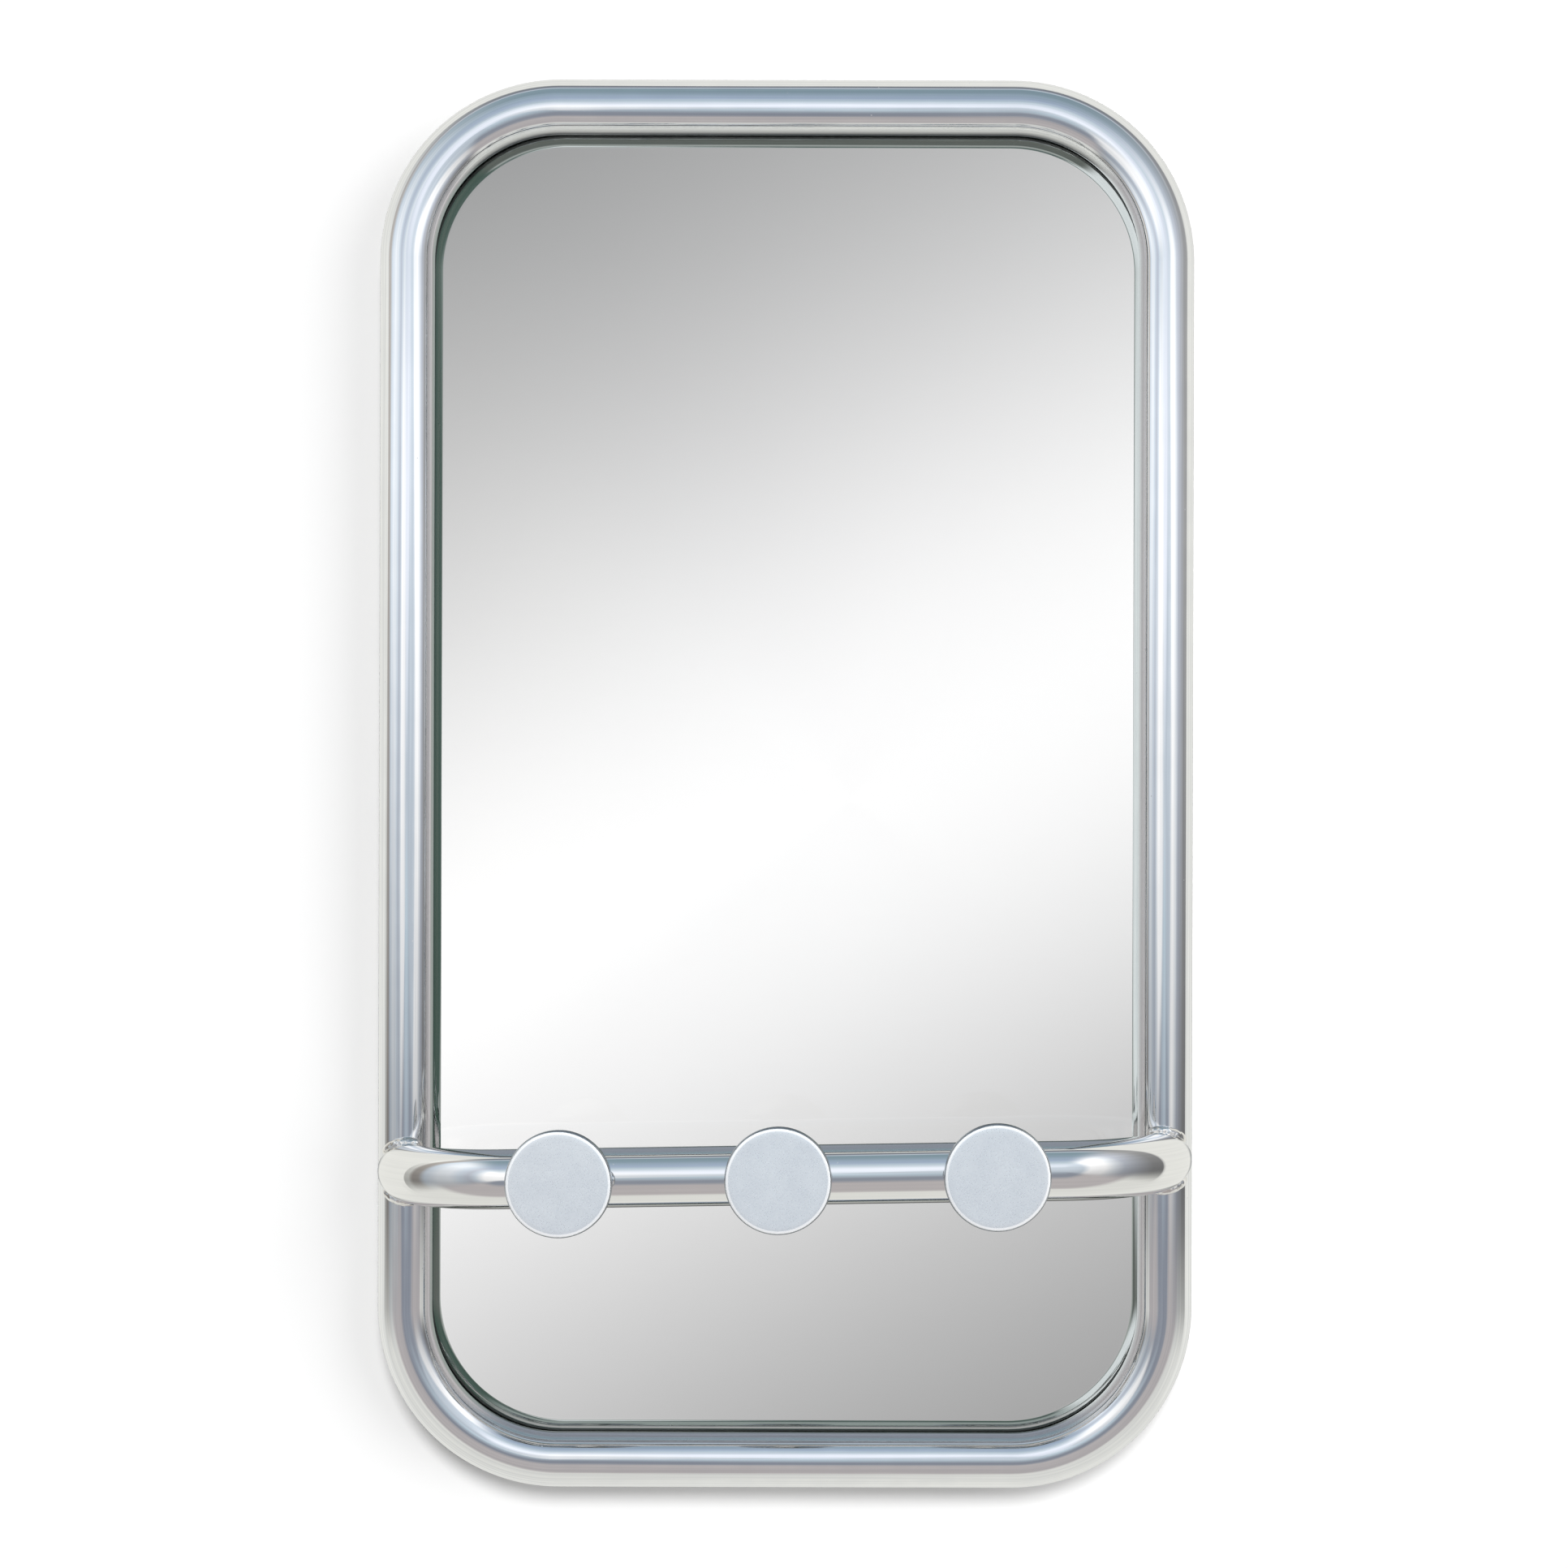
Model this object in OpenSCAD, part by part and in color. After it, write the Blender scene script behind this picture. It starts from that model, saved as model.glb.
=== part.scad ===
// Wall mirror in a closed frame of round tube, with a hook rail across its lower part.
// The pieces are drawn with the wall as the ground: x runs right, y runs up and z runs out
// from the wall. upright() then stands them up, so that the front faces -Y and the top +Z.
// The origin is midway between the two hanging holes, on the wall.

/* [Frame tube] */
// Width of the frame over the tube
frame_w = 450; // [400:1:600]
// Height of the frame over the tube
frame_h = 778; // [700:1:1100]
// Outside diameter of the frame tube
tube_d = 30; // [28:0.5:34]
// Wall of the frame tube
tube_wall = 2; // [1.5:0.1:3]
// Radius of the frame's corners, to the middle of the tube
corner_r = 85; // [70:1:100]
// Gap between the wall and the back of the frame tube
wall_gap = 15; // [14:0.5:22]
// Length of the sleeve inside each joint of the two frame halves
sleeve_l = 80; // [40:1:100]
// Wall of the joint sleeves
sleeve_wall = 2; // [1:0.1:3]
// Gap between a joint sleeve and the bore of the frame tube
sleeve_fit = 0.1; // [0.05:0.01:0.2]

/* [Hook rail] */
// Outside diameter of the rail
rail_d = 32; // [28:0.5:34]
// Wall of the rail
rail_wall = 2; // [1.5:0.1:3]
// Height of the rail's middle above the bottom edge of the frame
rail_height = 179; // [150:0.5:260]
// Distance from the middle of the frame tube out to the middle of the rail
rail_reach = 60; // [54:0.5:80]
// Straight length behind each bend of the rail, up to the middle of the frame tube
rail_leg = 2; // [1:0.5:20]
// How far the rail's ends stand inside the middle of the side tubes
rail_inset = 1.5; // [0.5:0.1:2.5]
// Slope of the rail in degrees, with its right end up
rail_tilt = 1; // [-2:0.1:2]
// Throat of the weld beads
weld_throat = 3.5; // [2:0.1:4]
// Length of each weld bead, across the side tube
weld_l = 26; // [18:1:26]

/* [Hooks] */
// Diameter of the hook discs
disc_d = 57; // [40:0.5:70]
// Thickness of the hook discs
disc_t = 6; // [5:0.1:10]
// Rounding of the front rim of the discs
disc_round = 2.2; // [0.5:0.1:2.5]
// Rounding of the back rim of the discs
disc_back_round = 1; // [0.3:0.1:1.5]
// Metal left in front of the stud hole of a disc
disc_skin = 1.5; // [1:0.1:2.5]
// Distance between neighbouring hooks
hook_spacing = 116; // [90:0.5:120]
// How far the row of hooks stands to the right of the middle
hook_shift = -2; // [-5:0.5:5]
// Diameter of the hook stems
stem_d = 16; // [14:0.5:20]
// Gap between the front of the rail and the back of a disc
hook_gap = 9; // [7:0.5:20]
// Diameter of the studs that hold the discs
stud_d = 6; // [5:0.5:7]
// Gap around a stud inside its stem
stud_clear = 0.3; // [0.1:0.05:0.5]
// Diameter of the rivet nuts in the rail
nut_d = 9; // [8.5:0.1:10]
// Length of the rivet nuts behind the front of the rail
nut_l = 11; // [10:0.5:14]
// Thickness of the flange of the rivet nuts
nut_flange = 0.8; // [0.5:0.1:1]
// How far the flange and the crimp of a rivet nut stand out around its barrel
nut_lip = 1.3; // [0.8:0.1:1.5]
// Depth of the crimp of the rivet nuts, behind the rail's wall
nut_crimp = 3; // [2:0.1:4]
// Length of stud left free of thread at each end
stud_end_gap = 0.5; // [0.2:0.1:1]

/* [Mirror] */
// Thickness of the glass
glass_t = 4; // [3:0.5:5]
// Gap between the back of the frame tube and the glass
glass_gap = 0.5; // [0.3:0.1:1]
// How far the edge of the glass stops inside the middle of the frame tube
glass_inset = 2; // [1:0.5:4]
// Thickness of the silvering and its paint
silvering_t = 0.2; // [0.1:0.05:0.3]
// Width of the gasket between the tube and the glass
gasket_w = 10; // [5:0.5:11]
// Thickness of the backing board
board_t = 3; // [2.5:0.5:3.5]
// How far the edge of the backing board stops inside the edge of the glass
board_inset = 1; // [0:0.5:3]
// Gap kept between the edge of the glass and the pieces fixed to the tube
edge_clear = 1; // [0.5:0.5:2]

/* [Clips] */
// Thickness of the retaining clips
clip_t = 1.5; // [1:0.1:2]
// Width of the retaining clips
clip_w = 12; // [10:0.5:16]
// How far a clip reaches over the backing board
clip_lap = 14; // [8:0.5:20]
// Distance between the clips along the sides
clip_pitch = 240; // [180:1:250]
// Diameter of the bosses that the clips are screwed to
boss_d = 8; // [7:0.5:9]
// Diameter of the clip screws
screw_d = 4; // [3:0.5:4]
// Gap around a screw in the hole of its clip
screw_clear = 0.2; // [0.1:0.05:0.4]
// Length of the screw thread in the boss
screw_grip = 6; // [4:0.5:6.5]
// Depth of the boss hole beyond the end of the screw
hole_spare = 1; // [0.5:0.1:1]
// Diameter of the screw heads
head_d = 7.5; // [6:0.1:8]
// Height of the screw heads
head_h = 2.2; // [1.5:0.1:2.5]
// Width across the flats of the socket in the screw heads
socket_w = 2.5; // [2:0.1:3]
// Depth of the socket in the screw heads
socket_depth = 1.3; // [0.8:0.1:1.4]

/* [Wall side] */
// Gap between each hanger strap and the corner beside it
hanger_margin = 15; // [2:1:30]
// Length of a hanger strap along the wall
hanger_w = 60; // [40:1:66]
// Height of a hanger strap
hanger_h = 14; // [12:0.5:15]
// Thickness of a hanger strap
hanger_t = 2.5; // [2:0.1:3]
// Inside radius of the bends of a hanger strap
hanger_bend = 1.5; // [1:0.1:3]
// Diameter of the hanging holes
hanger_hole_d = 8; // [5:0.5:8]
// Diameter of the wall bumpers
bumper_d = 12; // [8:0.5:13]
// Gap between each wall bumper and the corner beside it
bumper_margin = 19; // [2:1:40]
// Rounding of the wall bumpers where they touch the wall
bumper_round = 1.2; // [0.5:0.1:2]

/* [Hidden] */
$fn = 96;

// The sides of the object, as factors of x, and the two ends of the frame, as factors of y
LEFT = -1;
CENTRE = 0;
RIGHT = 1;
LOWER = -1;
UPPER = 1;

// Frame: the middle of the tube runs round a rounded rectangle
tube_r = tube_d / 2;
frame_ax = frame_w / 2 - tube_r;
frame_ay = frame_h / 2 - tube_r;
frame_out = wall_gap + tube_r;
side_run = frame_ay - corner_r;
cross_run = frame_ax - corner_r;

// The pieces fixed to the back of the tube stand just outside the edge of the glass
hanger_rise = hanger_h / 2 + edge_clear - glass_inset;
boss_off = boss_d / 2 + edge_clear - glass_inset;
bumper_off = bumper_d / 2 + edge_clear - glass_inset;
hanger_x = cross_run - hanger_margin - hanger_w / 2;
bumper_x = cross_run - bumper_margin - bumper_d / 2;
mid_y = -hanger_rise - frame_ay;

// Rail: its own ground is the middle of its tube, and its ends meet the side tubes
rail_r = rail_d / 2;
rail_y = mid_y - frame_h / 2 + rail_height;
rail_out = frame_out + rail_reach;
leg_x = frame_ax - rail_inset;
rail_bend_r = rail_reach - rail_leg;
rail_half = leg_x - rail_bend_r;
weld_tube_r = tube_r + weld_throat;
weld_leg_r = rail_r + weld_throat;

// Hooks, counted out from the middle of the rail
disc_r = disc_d / 2;
disc_back = rail_r + hook_gap;
stud_hole = disc_t - disc_skin;
nut_lip_d = nut_d + 2 * nut_lip;
cope_start = rail_r / 2;

// Layers behind the frame tube, from the front of the glass back towards the wall
glass_front = wall_gap - glass_gap;
glass_back = glass_front - glass_t;
silvering_back = glass_back - silvering_t;
board_back = silvering_back - board_t;
clip_back = board_back - clip_t;
thread_top = board_back + screw_grip;
clip_end = boss_d / 2 + boss_off;

// The height of the rail's middle at each end, where the frame halves meet behind it
function joint_y(side) = rail_y + side * leg_x * sin(rail_tilt);

// ---- Placing and sweeping ----

module upright() rotate([90, 0, 0]) children();

// Copies a child drawn for the right side to the given side
module on_side(side) mirror([side < 0 ? 1 : 0, 0, 0]) children();

// Copies a child drawn for the upper end, about the middle of the frame, to the given end
module on_end(end) translate([0, mid_y, 0]) mirror([0, end < 0 ? 1 : 0, 0]) children();

// Sweeps a section round a corner, along half of the end tube and down the side tube by a length.
// The section has x outward from the middle of the tube and y out from the wall.
module sweep_quarter(side, end, l)
    on_side(side) on_end(end) translate([cross_run, side_run, frame_out]) {
        rotate_extrude(angle = 90) translate([corner_r, 0]) children();
        translate([-cross_run, corner_r, 0]) rotate([90, 0, 90]) linear_extrude(cross_run) children();
        translate([corner_r, 0, 0]) rotate([90, 0, 0]) linear_extrude(l) children();
    }

// A quarter of a disc, with its corner at the middle
module quarter(r) intersection() {
    circle(r);
    square(r);
}

// A sheet behind the frame, whose edge stops the given distance inside the middle of the tube
module sheet(inset, back, t) translate([0, mid_y, back]) linear_extrude(t)
    for (sx = [0, 1], sy = [0, 1]) mirror([sx, 0]) mirror([0, sy]) {
        square([cross_run, side_run]);
        translate([cross_run, 0]) square([corner_r - inset, side_run]);
        translate([0, side_run]) square([cross_run, corner_r - inset]);
        translate([cross_run, side_run]) quarter(corner_r - inset);
    }

// The side tube as a solid bar, for the pieces that are cut to seat on it
module side_bar(side, r) translate([side * frame_ax, mid_y - side_run, frame_out])
    rotate([-90, 0, 0]) cylinder(r = r, h = 2 * side_run);

// The top or bottom tube as a solid bar
module end_bar(end) translate([-cross_run, mid_y + end * frame_ay, frame_out])
    rotate([0, 90, 0]) cylinder(r = tube_r, h = 2 * cross_run);

// ---- Frame ----

module tube_section() difference() {
    circle(tube_r);
    circle(tube_r - tube_wall);
}

module frame_upper_tube() color("lightsteelblue") upright()
    for (side = [LEFT, RIGHT])
        sweep_quarter(side, UPPER, mid_y + side_run - joint_y(side)) tube_section();

module frame_lower_tube() color("lightsteelblue") upright()
    for (side = [LEFT, RIGHT])
        sweep_quarter(side, LOWER, joint_y(side) - mid_y + side_run) tube_section();

// A sleeve inside the side tube, half in each half of the frame
module joint_sleeve(side) color("gray") upright()
    translate([side * frame_ax, joint_y(side) + sleeve_l / 2, frame_out])
        rotate([90, 0, 0]) linear_extrude(sleeve_l) difference() {
            circle(tube_r - tube_wall - sleeve_fit);
            circle(tube_r - tube_wall - sleeve_fit - sleeve_wall);
        }

// ---- Hook rail ----

module on_rail() translate([0, rail_y, 0]) rotate([0, 0, rail_tilt]) children();

// The whole run of the rail as a solid bar of the given radius
module rail_run(r) for (side = [LEFT, RIGHT]) on_side(side)
    translate([rail_half, 0, rail_out - rail_bend_r]) {
        translate([-rail_half, 0, rail_bend_r]) rotate([0, 90, 0]) cylinder(r = r, h = rail_half);
        rotate([90, 0, 0]) rotate_extrude(angle = 90) translate([rail_bend_r, 0]) circle(r);
        translate([rail_bend_r, 0, -rail_leg]) cylinder(r = r, h = rail_leg);
    }

module rail_tube() difference() {
    on_rail() rail_run(rail_r);
    on_rail() rail_run(rail_r - rail_wall);
}

module hook_rail() color("silver") upright() difference() {
    rail_tube();
    for (side = [LEFT, RIGHT]) side_bar(side, tube_r);
    for (place = [LEFT, CENTRE, RIGHT]) at_hook(place) cylinder(d = nut_d, h = rail_d);
}

// Two beads, above and below the end of the rail, in the corner that it makes with the side tube
module rail_weld(side) color("gainsboro") upright() difference() {
    intersection() {
        side_bar(side, weld_tube_r);
        on_rail() rail_run(weld_leg_r);
        translate([side * frame_ax - weld_l / 2, joint_y(side) - rail_d, frame_out])
            cube([weld_l, 2 * rail_d, rail_d]);
    }
    side_bar(side, tube_r);
    on_rail() rail_run(rail_r);
}

// ---- Hooks ----

// A hook's place on the rail, with z out from the middle of the rail
module at_hook(place) on_rail() translate([hook_shift + place * hook_spacing, 0, rail_out]) children();

// The straight of the rail beside a hook, as a solid bar
module rail_bar(r) translate([-hook_spacing / 2, 0, 0])
    rotate([0, 90, 0]) cylinder(r = r, h = hook_spacing);

module disc_section() {
    square([disc_r - disc_round, disc_t]);
    translate([disc_r - disc_round, disc_back_round])
        square([disc_round, disc_t - disc_round - disc_back_round]);
    translate([disc_r - disc_round, disc_t - disc_round]) quarter(disc_round);
    translate([disc_r - disc_round, 0]) square([disc_round - disc_back_round, disc_back_round]);
    translate([disc_r - disc_back_round, disc_back_round]) mirror([0, 1]) quarter(disc_back_round);
}

module hook_disc(place) color("lightgray") upright() at_hook(place) translate([0, 0, disc_back])
    difference() {
        rotate_extrude() disc_section();
        cylinder(d = stud_d, h = stud_hole);
    }

module hook_stem(place) color("silver") upright() at_hook(place) difference() {
    translate([0, 0, cope_start]) cylinder(d = stem_d, h = disc_back - cope_start);
    rail_bar(rail_r);
    cylinder(d = stud_d + 2 * stud_clear, h = disc_back);
    cylinder(d = nut_lip_d + 2 * stud_clear, h = rail_r + nut_flange + stud_clear);
}

module hook_stud(place) color("dimgray") upright() at_hook(place)
    translate([0, 0, rail_r - nut_l + stud_end_gap])
        cylinder(d = stud_d, h = nut_l + hook_gap + stud_hole - 2 * stud_end_gap);

module rivet_nut(place) color("gray") upright() at_hook(place) difference() {
    union() {
        translate([0, 0, rail_r - nut_l]) cylinder(d = nut_d, h = nut_l + nut_flange);
        difference() {
            translate([0, 0, cope_start]) cylinder(d = nut_lip_d, h = rail_r - cope_start + nut_flange);
            rail_bar(rail_r);
        }
        intersection() {
            translate([0, 0, rail_r - rail_wall - nut_crimp]) cylinder(d = nut_lip_d, h = nut_crimp);
            rail_bar(rail_r - rail_wall);
        }
    }
    cylinder(d = stud_d, h = rail_d);
}

// ---- Mirror ----

module mirror_glass() color("lightcyan") upright() sheet(glass_inset, glass_back, glass_t);

module mirror_silvering() color("whitesmoke") upright() sheet(glass_inset, silvering_back, silvering_t);

module backing_board() color("saddlebrown") upright() sheet(glass_inset + board_inset, board_back, board_t);

// The gasket fills the wedge between the round back of the tube and the front of the glass
module gasket_section() difference() {
    translate([-glass_inset - gasket_w, -tube_r - glass_gap]) square([gasket_w, tube_r]);
    circle(tube_r);
}

module glass_gasket() color("black") upright()
    for (side = [LEFT, RIGHT], end = [LOWER, UPPER])
        sweep_quarter(side, end, side_run) gasket_section();

// ---- Clips ----

// The places of the clips on the middle of the tube, with x outward
module at_clips() {
    for (side = [LEFT, RIGHT], step = [-1, 0, 1])
        on_side(side) translate([frame_ax, mid_y + step * clip_pitch, 0]) children();
    for (end = [LOWER, UPPER])
        on_end(end) translate([0, frame_ay, 0]) rotate([0, 0, 90]) children();
}

module clip_bosses() color("darkgray") upright() at_clips() difference() {
    translate([boss_off, 0, board_back]) cylinder(d = boss_d, h = frame_out - board_back);
    translate([0, boss_d, frame_out]) rotate([90, 0, 0]) cylinder(r = tube_r, h = 2 * boss_d);
    translate([boss_off, 0, board_back]) cylinder(d = screw_d, h = screw_grip + hole_spare);
}

module retaining_clips() color("silver") upright() at_clips() translate([0, 0, clip_back]) difference() {
    translate([-glass_inset - clip_lap, -clip_w / 2, 0])
        cube([glass_inset + clip_lap + clip_end, clip_w, clip_t]);
    translate([boss_off, 0, 0]) cylinder(d = screw_d + 2 * screw_clear, h = clip_t);
}

module clip_screws() color("gray") upright() at_clips() translate([boss_off, 0, 0]) difference() {
    union() {
        translate([0, 0, clip_back]) cylinder(d = screw_d, h = thread_top - clip_back);
        translate([0, 0, clip_back - head_h]) cylinder(d = head_d, h = head_h);
    }
    translate([0, 0, clip_back - head_h])
        cylinder(d = socket_w / cos(30), h = socket_depth, $fn = 6);
}

// ---- Wall side ----

// A strap bent to a U, whose ends are cut to the round of the top tube
module hanger(side) color("silver") upright() difference() {
    translate([side * hanger_x, -hanger_h / 2, 0]) {
        difference() {
            translate([-hanger_w / 2 + hanger_bend + hanger_t, 0, 0])
                cube([hanger_w - 2 * (hanger_bend + hanger_t), hanger_h, hanger_t]);
            translate([0, hanger_h / 2, 0]) cylinder(d = hanger_hole_d, h = hanger_t);
        }
        for (end = [LEFT, RIGHT]) on_side(end) {
            translate([hanger_w / 2 - hanger_bend - hanger_t, hanger_h, hanger_bend + hanger_t])
                rotate([90, 0, 0]) rotate([0, 0, -90]) rotate_extrude(angle = 90)
                    translate([hanger_bend, 0]) square([hanger_t, hanger_h]);
            translate([hanger_w / 2 - hanger_t, 0, hanger_bend + hanger_t])
                cube([hanger_t, hanger_h, frame_out - hanger_bend - hanger_t]);
        }
    }
    end_bar(UPPER);
}

// A rubber plug between the wall and the round back of the bottom tube
module wall_bumper(side) color("black") upright() difference() {
    translate([side * bumper_x, mid_y - frame_ay - bumper_off, 0]) rotate_extrude() {
        square([bumper_d / 2 - bumper_round, bumper_round]);
        translate([0, bumper_round]) square([bumper_d / 2, frame_out - bumper_round]);
        translate([bumper_d / 2 - bumper_round, bumper_round]) mirror([0, 1]) quarter(bumper_round);
    }
    end_bar(LOWER);
}

frame_upper_tube();
frame_lower_tube();
joint_sleeve(LEFT);  // joint_sleeve_left
joint_sleeve(RIGHT);  // joint_sleeve_right
hook_rail();
rail_weld(LEFT);  // rail_weld_left
rail_weld(RIGHT);  // rail_weld_right
hook_disc(LEFT);  // hook_disc_left
hook_disc(CENTRE);  // hook_disc_centre
hook_disc(RIGHT);  // hook_disc_right
hook_stem(LEFT);  // hook_stem_left
hook_stem(CENTRE);  // hook_stem_centre
hook_stem(RIGHT);  // hook_stem_right
hook_stud(LEFT);  // hook_stud_left
hook_stud(CENTRE);  // hook_stud_centre
hook_stud(RIGHT);  // hook_stud_right
rivet_nut(LEFT);  // rivet_nut_left
rivet_nut(CENTRE);  // rivet_nut_centre
rivet_nut(RIGHT);  // rivet_nut_right
mirror_glass();
mirror_silvering();
glass_gasket();
backing_board();
clip_bosses();
retaining_clips();
clip_screws();
hanger(LEFT);  // hanger_left
hanger(RIGHT);  // hanger_right
wall_bumper(LEFT);  // wall_bumper_left
wall_bumper(RIGHT);  // wall_bumper_right
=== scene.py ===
"""Looks of a wall mirror with a hook rail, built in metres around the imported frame.

X runs right, Y runs into the wall and Z runs up, so the front of the mirror faces -Y.
"""

import logging
import math
from collections.abc import Callable, Iterable, Sequence
from dataclasses import dataclass, field
from enum import Enum

import bmesh
import bpy
from mathutils import Matrix, Vector


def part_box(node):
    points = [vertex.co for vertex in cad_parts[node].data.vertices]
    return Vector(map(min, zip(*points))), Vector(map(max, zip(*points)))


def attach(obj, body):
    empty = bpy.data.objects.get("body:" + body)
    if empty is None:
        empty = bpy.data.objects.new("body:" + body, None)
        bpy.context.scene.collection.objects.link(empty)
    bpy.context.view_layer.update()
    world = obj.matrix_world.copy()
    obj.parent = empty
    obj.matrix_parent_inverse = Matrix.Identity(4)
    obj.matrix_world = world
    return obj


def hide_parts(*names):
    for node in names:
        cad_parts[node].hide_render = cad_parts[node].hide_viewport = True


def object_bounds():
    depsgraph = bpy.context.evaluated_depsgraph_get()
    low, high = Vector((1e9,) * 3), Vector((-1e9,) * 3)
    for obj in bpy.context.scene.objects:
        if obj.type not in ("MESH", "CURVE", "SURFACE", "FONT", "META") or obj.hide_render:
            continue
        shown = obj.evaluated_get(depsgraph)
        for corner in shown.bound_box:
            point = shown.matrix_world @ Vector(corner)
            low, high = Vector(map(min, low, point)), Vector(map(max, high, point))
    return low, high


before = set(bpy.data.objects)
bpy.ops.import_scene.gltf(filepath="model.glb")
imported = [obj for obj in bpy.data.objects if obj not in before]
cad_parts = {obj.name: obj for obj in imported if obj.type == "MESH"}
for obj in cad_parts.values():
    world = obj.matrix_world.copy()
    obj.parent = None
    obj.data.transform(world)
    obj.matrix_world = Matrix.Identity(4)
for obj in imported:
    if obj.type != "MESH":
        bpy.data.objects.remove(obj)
CAD_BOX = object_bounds()

log = logging.getLogger("wall_mirror")

MM = 0.001
QUARTER_TURN = math.radians(90)
BODY = "root"
GRAIN = "grain"
CREASE = math.radians(32)
FLAT_MARGIN = 0.3 * MM
WHITE = (1.0, 1.0, 1.0, 1.0)
VECTOR, VALUE = "NodeSocketVector", "NodeSocketFloat"

Rgb = tuple[float, float, float]
AXIS_X = Vector((1, 0, 0))
AXIS_Y = Vector((0, 1, 0))
AXIS_Z = Vector((0, 0, 1))


class Side(Enum):
    """A side of the mirror, as a factor of x."""

    LEFT = -1
    CENTRE = 0
    RIGHT = 1

    @property
    def word(self) -> str:
        """The side's name as the nodes spell it."""
        return self.name.lower()


class GrainFrom(Enum):
    """Where a metal's grain takes its direction from."""

    SWEEP = "sweep"
    ACROSS = "across"
    UPRIGHT = "upright"


def linear(colour: Rgb, gain: float = 1.0) -> tuple[float, float, float, float]:
    """Turns a screen colour into scene light.

    Args:
        colour: Red, green and blue from 0 to 255, as a screen shows them.
        gain: Factor on the light.

    Returns:
        Linear red, green and blue, and an alpha of 1.
    """
    low_end, slope, lift, power = 0.04045, 12.92, 0.055, 2.4
    shares = [value / 255 for value in colour]
    light = [s / slope if s <= low_end else ((s + lift) / (1 + lift)) ** power for s in shares]
    return (light[0] * gain, light[1] * gain, light[2] * gain, 1.0)


# ---- Shader trees ----


class ShaderTree:
    """Adds nodes to a material, a world or a node group, and links them."""

    def __init__(self, tree: bpy.types.NodeTree) -> None:
        """Keeps the tree that nodes are added to.

        Args:
            tree: An empty node tree.
        """
        self.tree = tree

    def add(self, kind: str, inputs: dict | None = None, **settings: object) -> bpy.types.Node:
        """Adds one node.

        Args:
            kind: Blender's name of the node type.
            inputs: Values or sockets by the input's name or number.
            **settings: Properties of the node itself.

        Returns:
            The new node.
        """
        node = self.tree.nodes.new(kind)
        for name, value in settings.items():
            setattr(node, name, value)
        for key, value in (inputs or {}).items():
            self.feed(node.inputs[key], value)
        return node

    def feed(self, socket: bpy.types.NodeSocket, value: object) -> None:
        """Links a socket to an input, or sets the input's own value.

        Args:
            socket: The input.
            value: A socket to link, or a plain value.
        """
        if isinstance(value, bpy.types.NodeSocket):
            self.tree.links.new(value, socket)
        else:
            socket.default_value = value

    def math(self, operation: str, *values: object, clamp: bool = False) -> bpy.types.NodeSocket:
        """Adds a Math node and returns its value."""
        node = self.add("ShaderNodeMath", dict(enumerate(values)), operation=operation, use_clamp=clamp)
        return node.outputs[0]

    def vector_math(self, operation: str, *values: object) -> bpy.types.NodeSocket:
        """Adds a Vector Math node and returns its vector."""
        return self.add("ShaderNodeVectorMath", dict(enumerate(values)), operation=operation).outputs[0]

    def scale(self, vector: object, factor: object) -> bpy.types.NodeSocket:
        """Multiplies a vector or a colour by a number."""
        return self.add("ShaderNodeVectorMath", {0: vector, "Scale": factor}, operation="SCALE").outputs[0]

    def mix(self, factor: object, first: object, second: object) -> bpy.types.NodeSocket:
        """Blends two colours.

        Args:
            factor: Share of the second colour.
            first: Colour at a factor of 0.
            second: Colour at a factor of 1.

        Returns:
            The blended colour.
        """
        inputs = {0: factor, 6: first, 7: second}
        return self.add("ShaderNodeMix", inputs, data_type="RGBA").outputs[2]

    def remap(self, value: object, source: Sequence[object],
              target: Sequence[object]) -> bpy.types.NodeSocket:
        """Maps one range smoothly on another, and stops at its ends.

        Args:
            value: The value to map.
            source: Its lowest and highest value.
            target: What these become.

        Returns:
            The mapped value.
        """
        inputs = {0: value, 1: source[0], 2: source[1], 3: target[0], 4: target[1]}
        return self.add("ShaderNodeMapRange", inputs, interpolation_type="SMOOTHSTEP").outputs[0]

    def noise(self, place: object, scale: object, detail: float = 2.0) -> bpy.types.NodeSocket:
        """Adds a Noise node and returns its value from 0 to 1."""
        inputs = {"Vector": place, "Scale": scale, "Detail": detail}
        return self.add("ShaderNodeTexNoise", inputs, noise_dimensions="3D").outputs[0]

    def ramp(self, value: object, stops: Sequence[tuple[float, tuple]]) -> bpy.types.NodeSocket:
        """Adds a Color Ramp.

        Args:
            value: Position on the ramp, from 0 to 1.
            stops: Positions with their colours, in order.

        Returns:
            The ramp's colour.
        """
        node = self.add("ShaderNodeValToRGB", {0: value})
        elements = node.color_ramp.elements
        while len(elements) > 1:
            elements.remove(elements[-1])
        elements[0].position, elements[0].color = stops[0]
        for position, colour in stops[1:]:
            elements.new(position).color = colour
        return node.outputs[0]

    def group(self, tree: bpy.types.NodeTree, inputs: dict | None = None) -> bpy.types.Node:
        """Places a node group with its own values.

        Args:
            tree: The group.
            inputs: Values or sockets by the input's name.

        Returns:
            The group's node.
        """
        return self.add("ShaderNodeGroup", inputs, node_tree=tree)


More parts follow.
